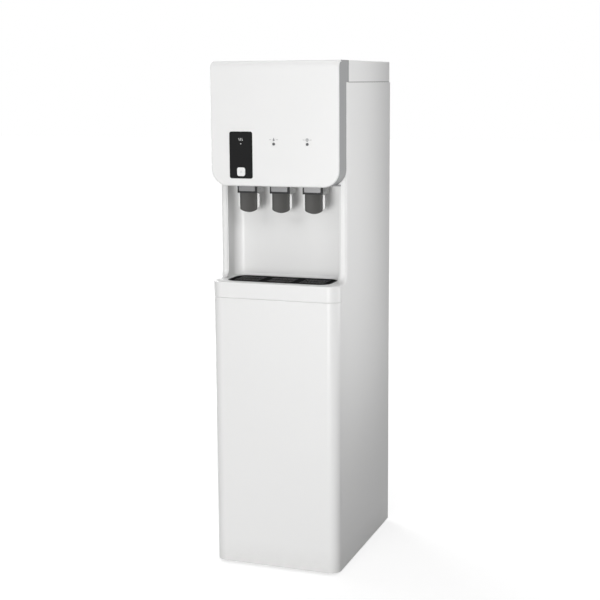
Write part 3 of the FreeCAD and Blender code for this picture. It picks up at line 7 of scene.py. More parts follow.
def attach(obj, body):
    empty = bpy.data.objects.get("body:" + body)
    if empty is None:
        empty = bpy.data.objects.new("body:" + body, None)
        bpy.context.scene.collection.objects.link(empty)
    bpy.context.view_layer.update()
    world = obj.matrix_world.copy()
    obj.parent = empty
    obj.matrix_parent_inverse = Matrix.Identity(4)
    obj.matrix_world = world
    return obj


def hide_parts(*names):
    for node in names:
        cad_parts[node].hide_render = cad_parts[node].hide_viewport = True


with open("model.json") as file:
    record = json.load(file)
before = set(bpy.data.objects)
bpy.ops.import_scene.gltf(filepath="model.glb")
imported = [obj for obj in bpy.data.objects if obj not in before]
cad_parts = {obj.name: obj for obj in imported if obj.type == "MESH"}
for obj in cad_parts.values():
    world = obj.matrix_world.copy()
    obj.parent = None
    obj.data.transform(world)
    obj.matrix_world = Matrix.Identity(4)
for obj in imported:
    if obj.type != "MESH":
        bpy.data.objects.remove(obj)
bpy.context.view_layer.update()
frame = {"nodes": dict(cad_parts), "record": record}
bpy.ops.object.select_all(action="DESELECT")
scene = bpy.context.scene
scene.view_settings.view_transform = "Standard"
print("frame loaded:", len(frame["nodes"]), "nodes")

# camera: place in metres, turns in radians, lens and sensor in millimetres
view = {
    "place": (0.9753, -2.6825, 1.0647),
    "yaw": 0.35209,
    "pitch": 0.1702,
    "roll": -0.0071,
    "lens": 75.98,
    "sensor": 36.0,
}


def addCamera():
    bpy.ops.object.camera_add()
    camera = bpy.context.object
    yaw = Matrix.Rotation(view["yaw"], 4, "Z")
    pitch = Matrix.Rotation(math.pi / 2 - view["pitch"], 4, "X")
    roll = Matrix.Rotation(view["roll"], 4, "Z")
    camera.matrix_world = Matrix.Translation(view["place"]) @ (yaw @ pitch) @ roll
    camera.data.sensor_width = view["sensor"]
    camera.data.lens = view["lens"]
    scene.camera = camera


# studio: broad frontal key, tall fill on the right that falls off with depth, a raised lamp
# that reaches into the alcove from the right, white sweep
studio = {
    "lamps": {
        "keyLamp": {"place": (0.05, -4.6, 0.42), "size": (1.5, 1.5), "power": 147.0},
        "fillLamp": {
            "place": (0.75, 0.2, 1.14), "size": (0.25, 1.5), "power": 1.6,
            "aim": (0.145, -0.25, 1.14), "spread": 86.0,
        },
        "browLamp": {"place": (-0.5, -3.2, 2.7), "size": (1.4, 1.4), "power": 14.0},
        "riseLamp": {"place": (1.5, -1.6, 1.9), "size": (1.0, 1.0), "power": 12.0},
        "topLamp": {"place": (-0.2, 0.35, 2.9), "size": (1.6, 1.6), "power": 16.0},
        "backLamp": {"place": (-2.4, 2.2, 1.6), "size": (1.8, 1.8), "power": 62.0},
    },
    "aim": (0.0, 0.0, 0.7),
    "spread": 180.0,
    "ambient": 0.11,
    "floorSize": 40.0,
    "floorTone": 0.5,
    "floorLift": 0.72,  # glow of the floor near the cooler, low enough to leave its shadow
    "floorFar": 1.0,
    "fadeStart": 0.5,
    "fadeEnd": 2.2,
}


def addLamp(name, place, size, power, aim=studio["aim"], spread=studio["spread"]):
    bpy.ops.object.light_add(type="AREA", location=place)
    lamp = bpy.context.object
    lamp.name = name
    lamp.data.shape = "RECTANGLE"
    lamp.data.size, lamp.data.size_y = size
    lamp.visible_camera = False
    lamp.data.energy = power
    lamp.data.spread = math.radians(spread)
    lamp.rotation_euler = (Vector(aim) - Vector(place)).to_track_quat("-Z", "Y").to_euler()


def seenRays(nodes, links):
    # 1 for rays that show the background itself: camera, mirror and glass rays
    path = nodes.new("ShaderNodeLightPath")
    seen = path.outputs["Is Camera Ray"]
    for label in ("Is Glossy Ray", "Is Transmission Ray"):
        either = nodes.new("ShaderNodeMath")
        either.operation = "MAXIMUM"
        links.new(seen, either.inputs[0])
        links.new(path.outputs[label], either.inputs[1])
        seen = either.outputs[0]
    return seen


def addWorld():
    world = bpy.data.worlds.new("studioWorld")
    scene.world = world
    world.use_nodes = True
    nodes, links = world.node_tree.nodes, world.node_tree.links
    nodes.clear()
    strength = nodes.new("ShaderNodeMapRange")
    strength.inputs["To Min"].default_value = studio["ambient"]
    strength.inputs["To Max"].default_value = 1.0
    links.new(seenRays(nodes, links), strength.inputs["Value"])
    sky = nodes.new("ShaderNodeBackground")
    sky.inputs["Color"].default_value = (1, 1, 1, 1)
    links.new(strength.outputs["Result"], sky.inputs["Strength"])
    out = nodes.new("ShaderNodeOutputWorld")
    links.new(sky.outputs[0], out.inputs["Surface"])


def addFloor():
    bpy.ops.mesh.primitive_plane_add(size=studio["floorSize"])
    floor = bpy.context.object
    floor.name = "studioFloor"
    paint = bpy.data.materials.new("studioFloor")
    paint.use_nodes = True
    nodes, links = paint.node_tree.nodes, paint.node_tree.links
    nodes.clear()
    tone = studio["floorTone"]
    matte = nodes.new("ShaderNodeBsdfDiffuse")
    matte.inputs["Color"].default_value = (tone, tone, tone, 1)
    away = nodes.new("ShaderNodeVectorMath")
    away.operation = "LENGTH"
    links.new(nodes.new("ShaderNodeTexCoord").outputs["Object"], away.inputs[0])
    fade = nodes.new("ShaderNodeMapRange")
    fade.interpolation_type = "SMOOTHSTEP"
    fade.inputs["From Min"].default_value = studio["fadeStart"]
    fade.inputs["From Max"].default_value = studio["fadeEnd"]
    fade.inputs["To Min"].default_value = studio["floorLift"]
    fade.inputs["To Max"].default_value = studio["floorFar"]
    links.new(away.outputs["Value"], fade.inputs["Value"])
    lift = nodes.new("ShaderNodeMath")
    lift.operation = "MULTIPLY"
    links.new(seenRays(nodes, links), lift.inputs[0])
    links.new(fade.outputs["Result"], lift.inputs[1])
    glow = nodes.new("ShaderNodeEmission")
    links.new(lift.outputs[0], glow.inputs["Strength"])
    both = nodes.new("ShaderNodeAddShader")
    links.new(matte.outputs[0], both.inputs[0])
    links.new(glow.outputs[0], both.inputs[1])
    out = nodes.new("ShaderNodeOutputMaterial")
    links.new(both.outputs[0], out.inputs["Surface"])
    floor.data.materials.append(paint)


addCamera()
for lampName, lampValues in studio["lamps"].items():
    addLamp(lampName, **lampValues)
addWorld()
addFloor()
print("studio set")


# node helpers
def newGroup(name, inputs, outputs):
    group = bpy.data.node_groups.new(name, "ShaderNodeTree")
    for label, kind, value in inputs:
        socket = group.interface.new_socket(label, in_out="INPUT", socket_type=kind)
        socket.default_value = value
    for label, kind in outputs:
        group.interface.new_socket(label, in_out="OUTPUT", socket_type=kind)
    start = group.nodes.new("NodeGroupInput")
    end = group.nodes.new("NodeGroupOutput")
    return group, start.outputs, end.inputs


def putOut(group, end, values):
    for label, socket in values.items():
        group.links.new(socket, end[label])


def objectSpot(tree):
    return tree.nodes.new("ShaderNodeTexCoord").outputs["Object"]


def splitAxes(tree, vector):
    parts = tree.nodes.new("ShaderNodeSeparateXYZ")
    tree.links.new(vector, parts.inputs[0])
    return parts.outputs


def noiseNode(tree, vector, scale, detail, rough=0.5):
    node = tree.nodes.new("ShaderNodeTexNoise")
    node.inputs["Detail"].default_value = detail
    node.inputs["Roughness"].default_value = rough
    if isinstance(scale, float):
        node.inputs["Scale"].default_value = scale
    else:
        tree.links.new(scale, node.inputs["Scale"])
    tree.links.new(vector, node.inputs["Vector"])
    return node.outputs["Fac"]


def mathNode(tree, operation, first, second, clamp=False):
    node = tree.nodes.new("ShaderNodeMath")
    node.operation = operation
    node.use_clamp = clamp
    for socket, value in zip(node.inputs, (first, second)):
        if isinstance(value, (int, float)):
            socket.default_value = value
        else:
            tree.links.new(value, socket)
    return node.outputs[0]


def mixColour(tree, share, first, second):
    node = tree.nodes.new("ShaderNodeMix")
    node.data_type = "RGBA"
    for label, kind, value in (("Factor", "VALUE", share), ("A", "RGBA", first), ("B", "RGBA", second)):
        socket = [s for s in node.inputs if s.name == label and s.type == kind][0]
        if isinstance(value, tuple):
            socket.default_value = value
        else:
            tree.links.new(value, socket)
    return [s for s in node.outputs if s.type == "RGBA"][0]


def swingGloss(tree, gloss, noise, spread):
    # gloss that swings to both sides of its value as the noise does about its middle
    swing = mathNode(tree, "MULTIPLY", mathNode(tree, "SUBTRACT", noise, 0.5), spread)
    return mathNode(tree, "ADD", gloss, swing, True)


skinOutputs = [
    ("Colour", "NodeSocketColor"),
    ("Roughness", "NodeSocketFloat"),
    ("Height", "NodeSocketFloat"),
]

# moulded plastic: slow tone drift, handling smears in the gloss, fine spark-eroded grain
mouldNoise = {
    "driftScale": 5.0,
    "driftDetail": 3.0,
    "smearScale": 17.0,
    "smearDetail": 5.0,
    "smearRough": 0.62,
    "grainDetail": 2.0,
}


def makeMouldGroup():
    group, start, end = newGroup(
        "mouldedSkin",
        [
            ("Tint", "NodeSocketColor", (0.8, 0.8, 0.8, 1)),
            ("Shade", "NodeSocketColor", (0.7, 0.7, 0.7, 1)),
            ("Drift", "NodeSocketFloat", 0.3),
            ("Gloss", "NodeSocketFloat", 0.3),
            ("Smear", "NodeSocketFloat", 0.08),
            ("Grain Scale", "NodeSocketFloat", 900.0),
        ],
        skinOutputs,
    )
    spot = objectSpot(group)
    slow = noiseNode(group, spot, mouldNoise["driftScale"], mouldNoise["driftDetail"])
    share = mathNode(group, "MULTIPLY", slow, start["Drift"], True)
    smears = noiseNode(
        group, spot, mouldNoise["smearScale"], mouldNoise["smearDetail"], mouldNoise["smearRough"])
    putOut(group, end, {
        "Colour": mixColour(group, share, start["Tint"], start["Shade"]),
        "Roughness": swingGloss(group, start["Gloss"], smears, start["Smear"]),
        "Height": noiseNode(group, spot, start["Grain Scale"], mouldNoise["grainDetail"]),
    })
    return group


# handling dust and scuffs that gather low down and fade upwards
scuffNoise = {"scale": 60.0, "detail": 6.0, "rough": 0.7}


def makeScuffGroup():
    group, start, end = newGroup(
        "lowScuffs",
        [
            ("Colour", "NodeSocketColor", (0.8, 0.8, 0.8, 1)),
            ("Dust", "NodeSocketColor", (0.45, 0.43, 0.4, 1)),
            ("Reach", "NodeSocketFloat", 0.06),
            ("Amount", "NodeSocketFloat", 0.2),
        ],
        [("Colour", "NodeSocketColor")],
    )
    spot = objectSpot(group)
    rise = mathNode(group, "DIVIDE", splitAxes(group, spot)["Z"], start["Reach"])
    low = mathNode(group, "SUBTRACT", 1.0, rise, True)
    specks = noiseNode(group, spot, scuffNoise["scale"], scuffNoise["detail"], scuffNoise["rough"])
    lowSpecks = mathNode(group, "MULTIPLY", low, specks)
    mask = mathNode(group, "MULTIPLY", lowSpecks, start["Amount"], True)
    putOut(group, end, {"Colour": mixColour(group, mask, start["Colour"], start["Dust"])})
    return group


# drawn or brushed metal: fine streaks along one axis
streakNoise = {"scale": 1.0, "detail": 4.0, "rough": 0.6}


def makeBrushGroup():
    group, start, end = newGroup(
        "drawnStreaks",
        [
            ("Tint", "NodeSocketColor", (0.7, 0.7, 0.7, 1)),
            ("Shade", "NodeSocketColor", (0.5, 0.5, 0.5, 1)),
            ("Gloss", "NodeSocketFloat", 0.25),
            ("Spread", "NodeSocketFloat", 0.12),
            ("Stretch", "NodeSocketVector", (3.0, 400.0, 400.0)),
        ],
        skinOutputs,
    )
    stretch = group.nodes.new("ShaderNodeVectorMath")
    stretch.operation = "MULTIPLY"
    group.links.new(objectSpot(group), stretch.inputs[0])
    group.links.new(start["Stretch"], stretch.inputs[1])
    streaks = noiseNode(
        group, stretch.outputs[0], streakNoise["scale"], streakNoise["detail"], streakNoise["rough"])
    putOut(group, end, {
        "Colour": mixColour(group, streaks, start["Tint"], start["Shade"]),
        "Roughness": swingGloss(group, start["Gloss"], streaks, start["Spread"]),
        "Height": streaks,
    })
    return group


# hot-dip zinc: crystal patches that differ in tone and gloss, with thin borders
spangleNoise = {"stainScale": 9.0, "stainDetail": 4.0, "stainShare": 0.7, "patchShare": 0.55}


def makeSpangleGroup():
    group, start, end = newGroup(
        "zincSpangle",
        [
            ("Tint", "NodeSocketColor", (0.6, 0.6, 0.6, 1)),
            ("Shade", "NodeSocketColor", (0.45, 0.45, 0.45, 1)),
            ("Gloss", "NodeSocketFloat", 0.4),
            ("Spread", "NodeSocketFloat", 0.2),
            ("Patch Scale", "NodeSocketFloat", 90.0),
        ],
        skinOutputs,
    )
    spot = objectSpot(group)
    patch = group.nodes.new("ShaderNodeTexVoronoi")
    group.links.new(spot, patch.inputs["Vector"])
    group.links.new(start["Patch Scale"], patch.inputs["Scale"])
    tone = splitAxes(group, patch.outputs["Color"])
    cloud = noiseNode(group, spot, spangleNoise["stainScale"], spangleNoise["stainDetail"])
    stain = mathNode(group, "MULTIPLY", cloud, spangleNoise["stainShare"])
    patches = mathNode(group, "MULTIPLY", tone["X"], spangleNoise["patchShare"])
    share = mathNode(group, "ADD", patches, stain, True)
    putOut(group, end, {
        "Colour": mixColour(group, share, start["Tint"], start["Shade"]),
        "Roughness": swingGloss(group, start["Gloss"], tone["Y"], start["Spread"]),
        "Height": patch.outputs["Distance"],
    })
    return group


mouldGroup = makeMouldGroup()
spangleGroup = makeSpangleGroup()
scuffGroup = makeScuffGroup()
brushGroup = makeBrushGroup()


def startMaterial(name):
    material = bpy.data.materials.new(name)
    material.use_nodes = True
    tree = material.node_tree
    tree.nodes.clear()
    shader = tree.nodes.new("ShaderNodeBsdfPrincipled")
    out = tree.nodes.new("ShaderNodeOutputMaterial")
    tree.links.new(shader.outputs[0], out.inputs["Surface"])
    return material, tree, shader


def placeGroup(tree, group, values):
    node = tree.nodes.new("ShaderNodeGroup")
    node.node_tree = group
    for label, value in values.items():
        node.inputs[label].default_value = value
    return node


def addBump(tree, shader, height, strength, distance):
    bump = tree.nodes.new("ShaderNodeBump")
    bump.inputs["Strength"].default_value = strength
    bump.inputs["Distance"].default_value = distance
    tree.links.new(height, bump.inputs["Height"])
    tree.links.new(bump.outputs[0], shader.inputs["Normal"])


# what a plastic has unless its finish says otherwise
plasticLook = {
    "smear": 0.08,
    "drift": 0.35,
    "grain": 900.0,
    "bump": 0.08,
    "bumpDepth": 0.0001,
    "dust": 0.0,
    "coat": 0.0,
    "coatRough": 0.08,
    "specular": 0.5,
}


def plastic(name, tint, shade, gloss, **own):
    look = {**plasticLook, **own}
    material, tree, shader = startMaterial(name)
    skin = placeGroup(tree, mouldGroup, {
        "Tint": (*tint, 1), "Shade": (*shade, 1), "Drift": look["drift"],
        "Gloss": gloss, "Smear": look["smear"], "Grain Scale": look["grain"],
    })
    colour = skin.outputs["Colour"]
    if look["dust"]:
        scuff = placeGroup(tree, scuffGroup, {"Amount": look["dust"]})
        tree.links.new(colour, scuff.inputs["Colour"])
        colour = scuff.outputs["Colour"]
    tree.links.new(colour, shader.inputs["Base Color"])
    tree.links.new(skin.outputs["Roughness"], shader.inputs["Roughness"])
    shader.inputs["Specular IOR Level"].default_value = look["specular"]
    shader.inputs["Coat Weight"].default_value = look["coat"]
    shader.inputs["Coat Roughness"].default_value = look["coatRough"]
    addBump(tree, shader, skin.outputs["Height"], look["bump"], look["bumpDepth"])
    return material


# relief of the two metal skins
metalRelief = {"drawnBump": 0.15, "drawnDepth": 0.00005, "zincBump": 0.04, "zincDepth": 0.0002}


def metalSkin(name, group, values, bump, depth):
    material, tree, shader = startMaterial(name)
    skin = placeGroup(tree, group, values)
    tree.links.new(skin.outputs["Colour"], shader.inputs["Base Color"])
    tree.links.new(skin.outputs["Roughness"], shader.inputs["Roughness"])
    shader.inputs["Metallic"].default_value = 1.0
    addBump(tree, shader, skin.outputs["Height"], bump, depth)
    return material


def metal(name, tint, shade, gloss, spread, stretch):
    values = {
        "Tint": (*tint, 1), "Shade": (*shade, 1), "Gloss": gloss, "Spread": spread, "Stretch": stretch,
    }
    return metalSkin(name, brushGroup, values, metalRelief["drawnBump"], metalRelief["drawnDepth"])


def zinc(name, tint, shade, gloss, spread, patch):
    values = {
        "Tint": (*tint, 1), "Shade": (*shade, 1), "Gloss": gloss, "Spread": spread, "Patch Scale": patch,
    }
    return metalSkin(name, spangleGroup, values, metalRelief["zincBump"], metalRelief["zincDepth"])


# tint, shade and gloss of each material slot
finishes = {
    "white_shell": plastic(
        "whiteShell", (0.83, 0.83, 0.825), (0.80, 0.80, 0.795), 0.34, dust=0.25, specular=0.35),
    "grey_shell": plastic(
        "greyShell", (0.25, 0.253, 0.258), (0.225, 0.228, 0.232), 0.34, grain=1800.0, bump=0.12),
    "white_trim": plastic("whiteTrim", (0.86, 0.86, 0.855), (0.83, 0.83, 0.82), 0.2, coat=0.2),
    "black_plastic": plastic(
        "blackPlastic", (0.012, 0.012, 0.013), (0.02, 0.02, 0.021), 0.5, bump=0.2, specular=0.25),
    "black_window": plastic(
        "blackWindow", (0.005, 0.005, 0.0053), (0.007, 0.007, 0.0074), 0.2,
        smear=0.12, bump=0.02, specular=0.17),
    "dark_pad": plastic(
        "darkPad", (0.066, 0.065, 0.062), (0.054, 0.053, 0.051), 0.5, bump=0.08, specular=0.2),
    "bright_trim": metal(
        "brightTrim", (0.18, 0.18, 0.182), (0.14, 0.14, 0.142), 0.3, 0.14, (4.0, 500.0, 500.0)),
    "light_lens": plastic("lightLens", (0.1, 0.1, 0.105), (0.08, 0.08, 0.085), 0.25),
    "steel": metal(
        "drawnSteel", (0.62, 0.62, 0.63), (0.5, 0.5, 0.51), 0.3, 0.15, (300.0, 300.0, 4.0)),
    "copper": metal(
        "bareCopper", (0.78, 0.42, 0.27), (0.55, 0.28, 0.17), 0.3, 0.2, (60.0, 60.0, 60.0)),
    "black_metal": plastic(
        "blackPaint", (0.018, 0.018, 0.019), (0.03, 0.03, 0.031), 0.33, bump=0.25, grain=400.0),
    "zinc_sheet": zinc("zincSheet", (0.62, 0.63, 0.64), (0.47, 0.48, 0.49), 0.42, 0.2, 130.0),
    "foam": plastic("tankFoam", (0.78, 0.77, 0.74), (0.7, 0.69, 0.65), 0.8, bump=0.5, grain=500.0),
    "board": plastic("boardGreen", (0.02, 0.12, 0.05), (0.015, 0.09, 0.04), 0.3),
    "clear_tube": plastic("milkyTube", (0.72, 0.75, 0.77), (0.66, 0.69, 0.71), 0.35),
    "blue_fitting": plastic("paleFitting", (0.62, 0.65, 0.68), (0.56, 0.59, 0.62), 0.36),
    "black_rubber": plastic(
        "blackRubber", (0.02, 0.02, 0.02), (0.03, 0.03, 0.03), 0.7, bump=0.3, dust=0.3),
}


def rampOn(tree, axis, low, high):
    # 0 below low and 1 above high, along one axis of the object
    ramp = tree.nodes.new("ShaderNodeMapRange")
    ramp.inputs["From Min"].default_value = low
    ramp.inputs["From Max"].default_value = high
    tree.links.new(splitAxes(tree, objectSpot(tree))[axis], ramp.inputs["Value"])
    return ramp.outputs["Result"]


def overColour(material, share, tint):
    # lays a second colour over a finish where the mask is 1
    tree = material.node_tree
    shader = [node for node in tree.nodes if node.type == "BSDF_PRINCIPLED"][0]
    first = shader.inputs["Base Color"].links[0].from_socket
    tree.links.new(mixColour(tree, share, first, (*tint, 1)), shader.inputs["Base Color"])


# tap spouts: pale moulding behind a thin black front frame
spoutLook = {
    "black": (0.012, 0.012, 0.013),
    "blackShade": (0.02, 0.02, 0.021),
    "gloss": 0.45,
    "pale": (0.80, 0.80, 0.795),
    "frameEnd": -0.1468,
    "blend": 0.0002,
}


def makeSpoutFinish():
    material = plastic(
        "spoutShell", spoutLook["black"], spoutLook["blackShade"], spoutLook["gloss"],
        bump=0.12, specular=0.25)
    edge = spoutLook["frameEnd"]
    behind = rampOn(material.node_tree, "Y", edge, edge + spoutLook["blend"])
    overColour(material, behind, spoutLook["pale"])
    return material


# filter sleeves: two coloured bands on white card
sleeveLook = {
    "card": (0.80, 0.80, 0.785),
    "cardShade": (0.74, 0.74, 0.72),
    "gloss": 0.5,
    "tint": (0.16, 0.32, 0.50),
    "bands": ((0.335, 0.347), (0.473, 0.485)),
    "blend": 0.0004,
}


def makeSleeveFinish():
    material = plastic(
        "sleevePrint", sleeveLook["card"], sleeveLook["cardShade"], sleeveLook["gloss"], grain=500.0)
    tree, blend = material.node_tree, sleeveLook["blend"]
    for low, high in sleeveLook["bands"]:
        rise = rampOn(tree, "Z", low, low + blend)
        fall = mathNode(tree, "SUBTRACT", 1.0, rampOn(tree, "Z", high, high + blend), True)
        overColour(material, mathNode(tree, "MULTIPLY", rise, fall), sleeveLook["tint"])
    return material


spoutFinish = makeSpoutFinish()
sleevePrint = makeSleeveFinish()
grilleBlack = plastic(
    "grilleBlack", (0.007, 0.007, 0.007), (0.012, 0.012, 0.012), 0.8, bump=0.3, specular=0.01)
inkPale = plastic("inkPale", (0.72, 0.72, 0.71), (0.64, 0.64, 0.63), 0.5)
inkGrey = plastic("inkGrey", (0.24, 0.24, 0.25), (0.2, 0.2, 0.21), 0.5)
inkFaint = plastic("inkFaint", (0.70, 0.70, 0.70), (0.66, 0.66, 0.66), 0.5)
# black of the slot lips, a little lighter than the grille's: painted sheen along the slot edges; their
# gloss is real
rimSheenBlack = plastic(
    "rimSheenBlack", (0.028, 0.028, 0.028), (0.022, 0.022, 0.022), 0.3, bump=0.1, specular=0.3)
# dark grey of the cover gasket, which also serves as the painted shadow line of the seam under the top
# cover
gasketShadowGrey = plastic(
    "gasketShadowGrey", (0.1, 0.1, 0.102), (0.08, 0.08, 0.082), 0.7, bump=0.3, specular=0.1)
pushGrey = plastic("pushGrey", (0.45, 0.47, 0.49), (0.40, 0.42, 0.44), 0.4)
# alcove liner: the shell's white made darker, painted shade of the recess under the head
linerShadedWhite = plastic(
    "linerShadedWhite", (0.76, 0.76, 0.755), (0.73, 0.73, 0.725), 0.34, dust=0.25, specular=0.35)

# nodes whose finish differs from the rest of their slot
special = {"drip_grille": grilleBlack, "tap_spouts": spoutFinish, "alcove_liner": linerShadedWhite}

for part in frame["record"]["subparts"]:
    node = frame["nodes"][part["node"]]
    node.data.materials.clear()
    node.data.materials.append(special.get(part["node"], finishes[part["material_slot"]]))
print("finishes on CAD nodes:", len(frame["nodes"]))


# modelling helpers
smoothAngle = 35.0  # degrees, edges sharper than this stay sharp
closeBy = 0.00001  # slack when points are picked by their place
alongY = (math.pi / 2, 0, 0)  # turns a primitive's axis from Z to Y


def clearPick():
    if bpy.context.object and bpy.context.object.mode != "OBJECT":
        bpy.ops.object.mode_set(mode="OBJECT")
    bpy.ops.object.select_all(action="DESELECT")


def pickOnly(piece):
    clearPick()
    piece.select_set(True)
    bpy.context.view_layer.objects.active = piece


def addBlock(place, size, turn=(0, 0, 0)):
    bpy.ops.mesh.primitive_cube_add(size=1, location=place, rotation=turn, scale=size)
    return bpy.context.object


def addRod(place, radius, depth, sides, turn=(0, 0, 0), ends="NGON"):
    bpy.ops.mesh.primitive_cylinder_add(
        vertices=sides, radius=radius, depth=depth, end_fill_type=ends, location=place, rotation=turn)
    return bpy.context.object


def addRing(place, radius, thick, around, across, turn=(0, 0, 0)):
    bpy.ops.mesh.primitive_torus_add(
        major_radius=radius, minor_radius=thick, major_segments=around, minor_segments=across,
        location=place, rotation=turn)
    return bpy.context.object


def applyPlace(piece):
    pickOnly(piece)
    bpy.ops.object.transform_apply(location=True, rotation=True, scale=True)


def applySize(piece):
    pickOnly(piece)
    bpy.ops.object.transform_apply(location=False, rotation=False, scale=True)


def editWith(piece, kind, test):
    # edit mode with only the faces, edges or points picked whose ends all pass the test
    pickOnly(piece)
    bpy.ops.object.mode_set(mode="EDIT")
    bpy.ops.mesh.select_mode(type=kind)
    bpy.ops.mesh.select_all(action="DESELECT")
    bpy.ops.object.mode_set(mode="OBJECT")
    mesh, place = piece.data, piece.matrix_world
    points = [place @ vertex.co for vertex in mesh.vertices]
    for item in {"FACE": mesh.polygons, "EDGE": mesh.edges, "VERT": mesh.vertices}[kind]:
        ends = [points[index] for index in (item.vertices if kind != "VERT" else [item.index])]
        item.select = all(test(end) for end in ends)
    bpy.ops.object.mode_set(mode="EDIT")


def leaveEdit():
    bpy.ops.object.mode_set(mode="OBJECT")


def pullOut(shift):
    # extrudes what is picked in edit mode
    bpy.ops.mesh.extrude_region_move(TRANSFORM_OT_translate={"value": shift})


def useModifier(piece, kind, **values):
    pickOnly(piece)
    modifier = piece.modifiers.new(kind.lower(), kind)
    for label, value in values.items():
        setattr(modifier, label, value)
    bpy.ops.object.modifier_apply(modifier=modifier.name)


def copyAt(piece, shift=(0, 0, 0), turn=None):
    pickOnly(piece)
    bpy.ops.object.duplicate()
    copy = bpy.context.object
    copy.matrix_world = Matrix.Translation(shift) @ copy.matrix_world
    if turn:
        copy.matrix_world = turn @ copy.matrix_world
    return copy


def joinAll(parts):
    clearPick()
    for part in parts:
        part.select_set(True)
    bpy.context.view_layer.objects.active = parts[0]
    bpy.ops.object.join()
    return parts[0]


def turnAbout(place, axis, angle):
    there, back = Matrix.Translation(place), Matrix.Translation(-Vector(place))
    return there @ Matrix.Rotation(angle, 4, axis) @ back


def settle(piece, name, body, slotName, finish=None):
    # place goes into the mesh, then finish and body; the slot only names the finish to use when none is
    # given
    applyPlace(piece)
    bpy.ops.object.mode_set(mode="EDIT")
    bpy.ops.mesh.select_all(action="SELECT")
    bpy.ops.mesh.normals_make_consistent(inside=False)
    leaveEdit()
    bpy.ops.object.shade_smooth_by_angle(angle=math.radians(smoothAngle))
    piece.name = piece.data.name = name
    piece.data.materials.clear()
    piece.data.materials.append(finish or finishes[slotName])
    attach(piece, body)
    return piece


# printed marks on the head: plain symbols for hot, normal and cold
marks = {
    "face": -0.182,
    "height": 0.9461,
    "hotX": -0.075,
    "normalX": 0.0,
    "coldX": 0.075,
    "ink": 0.00028,  # thickness of the printed layer, half of it sunk in
    "waveTall": 0.0056,
    "waveWide": 0.0009,
    "waveSwing": 0.0008,
    "waveStep": 0.0036,
    "waveParts": 14,
    "dropRadius": 0.0021,
    "dropSides": 36,
    "dropSink": 0.5,  # share of the radius that the drop's middle sits low
    "dropTip": 0.0032,
    "dropPull": 1.7,  # reach of the tip's pull, in radii
    "flakeArm": 0.0074,
    "flakeWide": 0.00075,
    "flakeFork": 0.3,  # share of an arm's length out to its twigs
    "twigLong": 0.0022,
    "twigWide": 0.0006,
    "twigPlace": 0.4,  # share of a twig's length from the fork to its middle
    "ruleGap": 0.0074,
    "ruleLong": 0.0048,
    "ruleWide": 0.0007,
    "ruleRound": 0.00006,
}


def addBar(place, length, wide, thick, angle=0.0):
    return addBlock(place, (length, thick, wide), (0, angle, 0))


def addWave(place):
    tall, parts = marks["waveTall"], marks["waveParts"]
    rise = tall / parts
    low = place[2] - tall / 2
    foot = (place[0], place[1], low + rise / 2)
    bpy.ops.mesh.primitive_plane_add(size=1, location=foot, rotation=alongY)
    wave = bpy.context.object
    wave.scale = (marks["waveWide"], rise, 1)
    applyPlace(wave)
    editWith(wave, "EDGE", lambda end: end.z > low + rise - closeBy)
    sway = [math.sin(2 * math.pi * step / parts) * marks["waveSwing"] for step in range(parts + 1)]
    for step in range(1, parts):
        pullOut((sway[step + 1] - sway[step], 0, rise))
    leaveEdit()
    useModifier(wave, "SOLIDIFY", thickness=marks["ink"], offset=0)
    return wave


def addHotMark():
    first = addWave((marks["hotX"] - marks["waveStep"], marks["face"], marks["height"]))
    waves = [first] + [copyAt(first, (marks["waveStep"] * step, 0, 0)) for step in (1, 2)]
    settle(joinAll(waves), "hotMark", "cabinet", "white_trim", inkPale)


def addMarkRules():
    place = (marks["normalX"] + marks["ruleGap"], marks["face"], marks["height"])
    rule = addBar(place, marks["ruleLong"], marks["ruleWide"], marks["ink"])
    useModifier(rule, "BEVEL", width=marks["ruleRound"], segments=2)
    gap, step = marks["ruleGap"] * 2, marks["coldX"] - marks["normalX"]
    rules = [rule] + [copyAt(rule, (shift, 0, 0)) for shift in (-gap, step, step - gap)]
    settle(joinAll(rules), "markRules", "cabinet", "light_lens", inkGrey)


def addNormalMark():
    radius = marks["dropRadius"]
    place = (marks["normalX"], marks["face"], marks["height"] - radius * marks["dropSink"])
    bpy.ops.mesh.primitive_circle_add(
        vertices=marks["dropSides"], radius=radius, fill_type="NGON", location=place, rotation=alongY)
    drop = bpy.context.object
    editWith(drop, "VERT", lambda end: end.z > place[2] + radius - closeBy)
    bpy.ops.transform.translate(
        value=(0, 0, marks["dropTip"]), use_proportional_edit=True,
        proportional_edit_falloff="SHARP", proportional_size=radius * marks["dropPull"])
    leaveEdit()
    useModifier(drop, "SOLIDIFY", thickness=marks["ink"], offset=0)
    settle(drop, "normalMark", "cabinet", "light_lens", inkGrey)


def addColdMark():
    centre = Vector((marks["coldX"], marks["face"], marks["height"]))
    sixth = math.pi / 3
    bars = []
    for arm in range(3):
        bars.append(addBar(centre, marks["flakeArm"], marks["flakeWide"], marks["ink"], sixth * arm))
    for arm in range(6):
        aim = sixth * arm
        out = Vector((math.cos(aim), 0, -math.sin(aim)))
        fork = centre + out * marks["flakeArm"] * marks["flakeFork"]
        for lean in (-1, 1):
            twig = aim + lean * sixth
            way = Vector((math.cos(twig), 0, -math.sin(twig)))
            spot = fork + way * marks["twigLong"] * marks["twigPlace"]
            bars.append(addBar(spot, marks["twigLong"], marks["twigWide"], marks["ink"], twig))
    settle(joinAll(bars), "coldMark", "cabinet", "light_lens", inkGrey)


# child-lock button: small padlock print
lockMark = {
    "place": (-0.075, -0.1828, 0.8770),
    "wide": 0.0046,
    "tall": 0.0033,
    "loop": 0.0014,
    "leg": 0.6,  # straight part of the shackle, in radii of its loop
    "line": 0.0006,
    "ink": 0.00024,
    "round": 0.00009,
    "steps": 14,
}


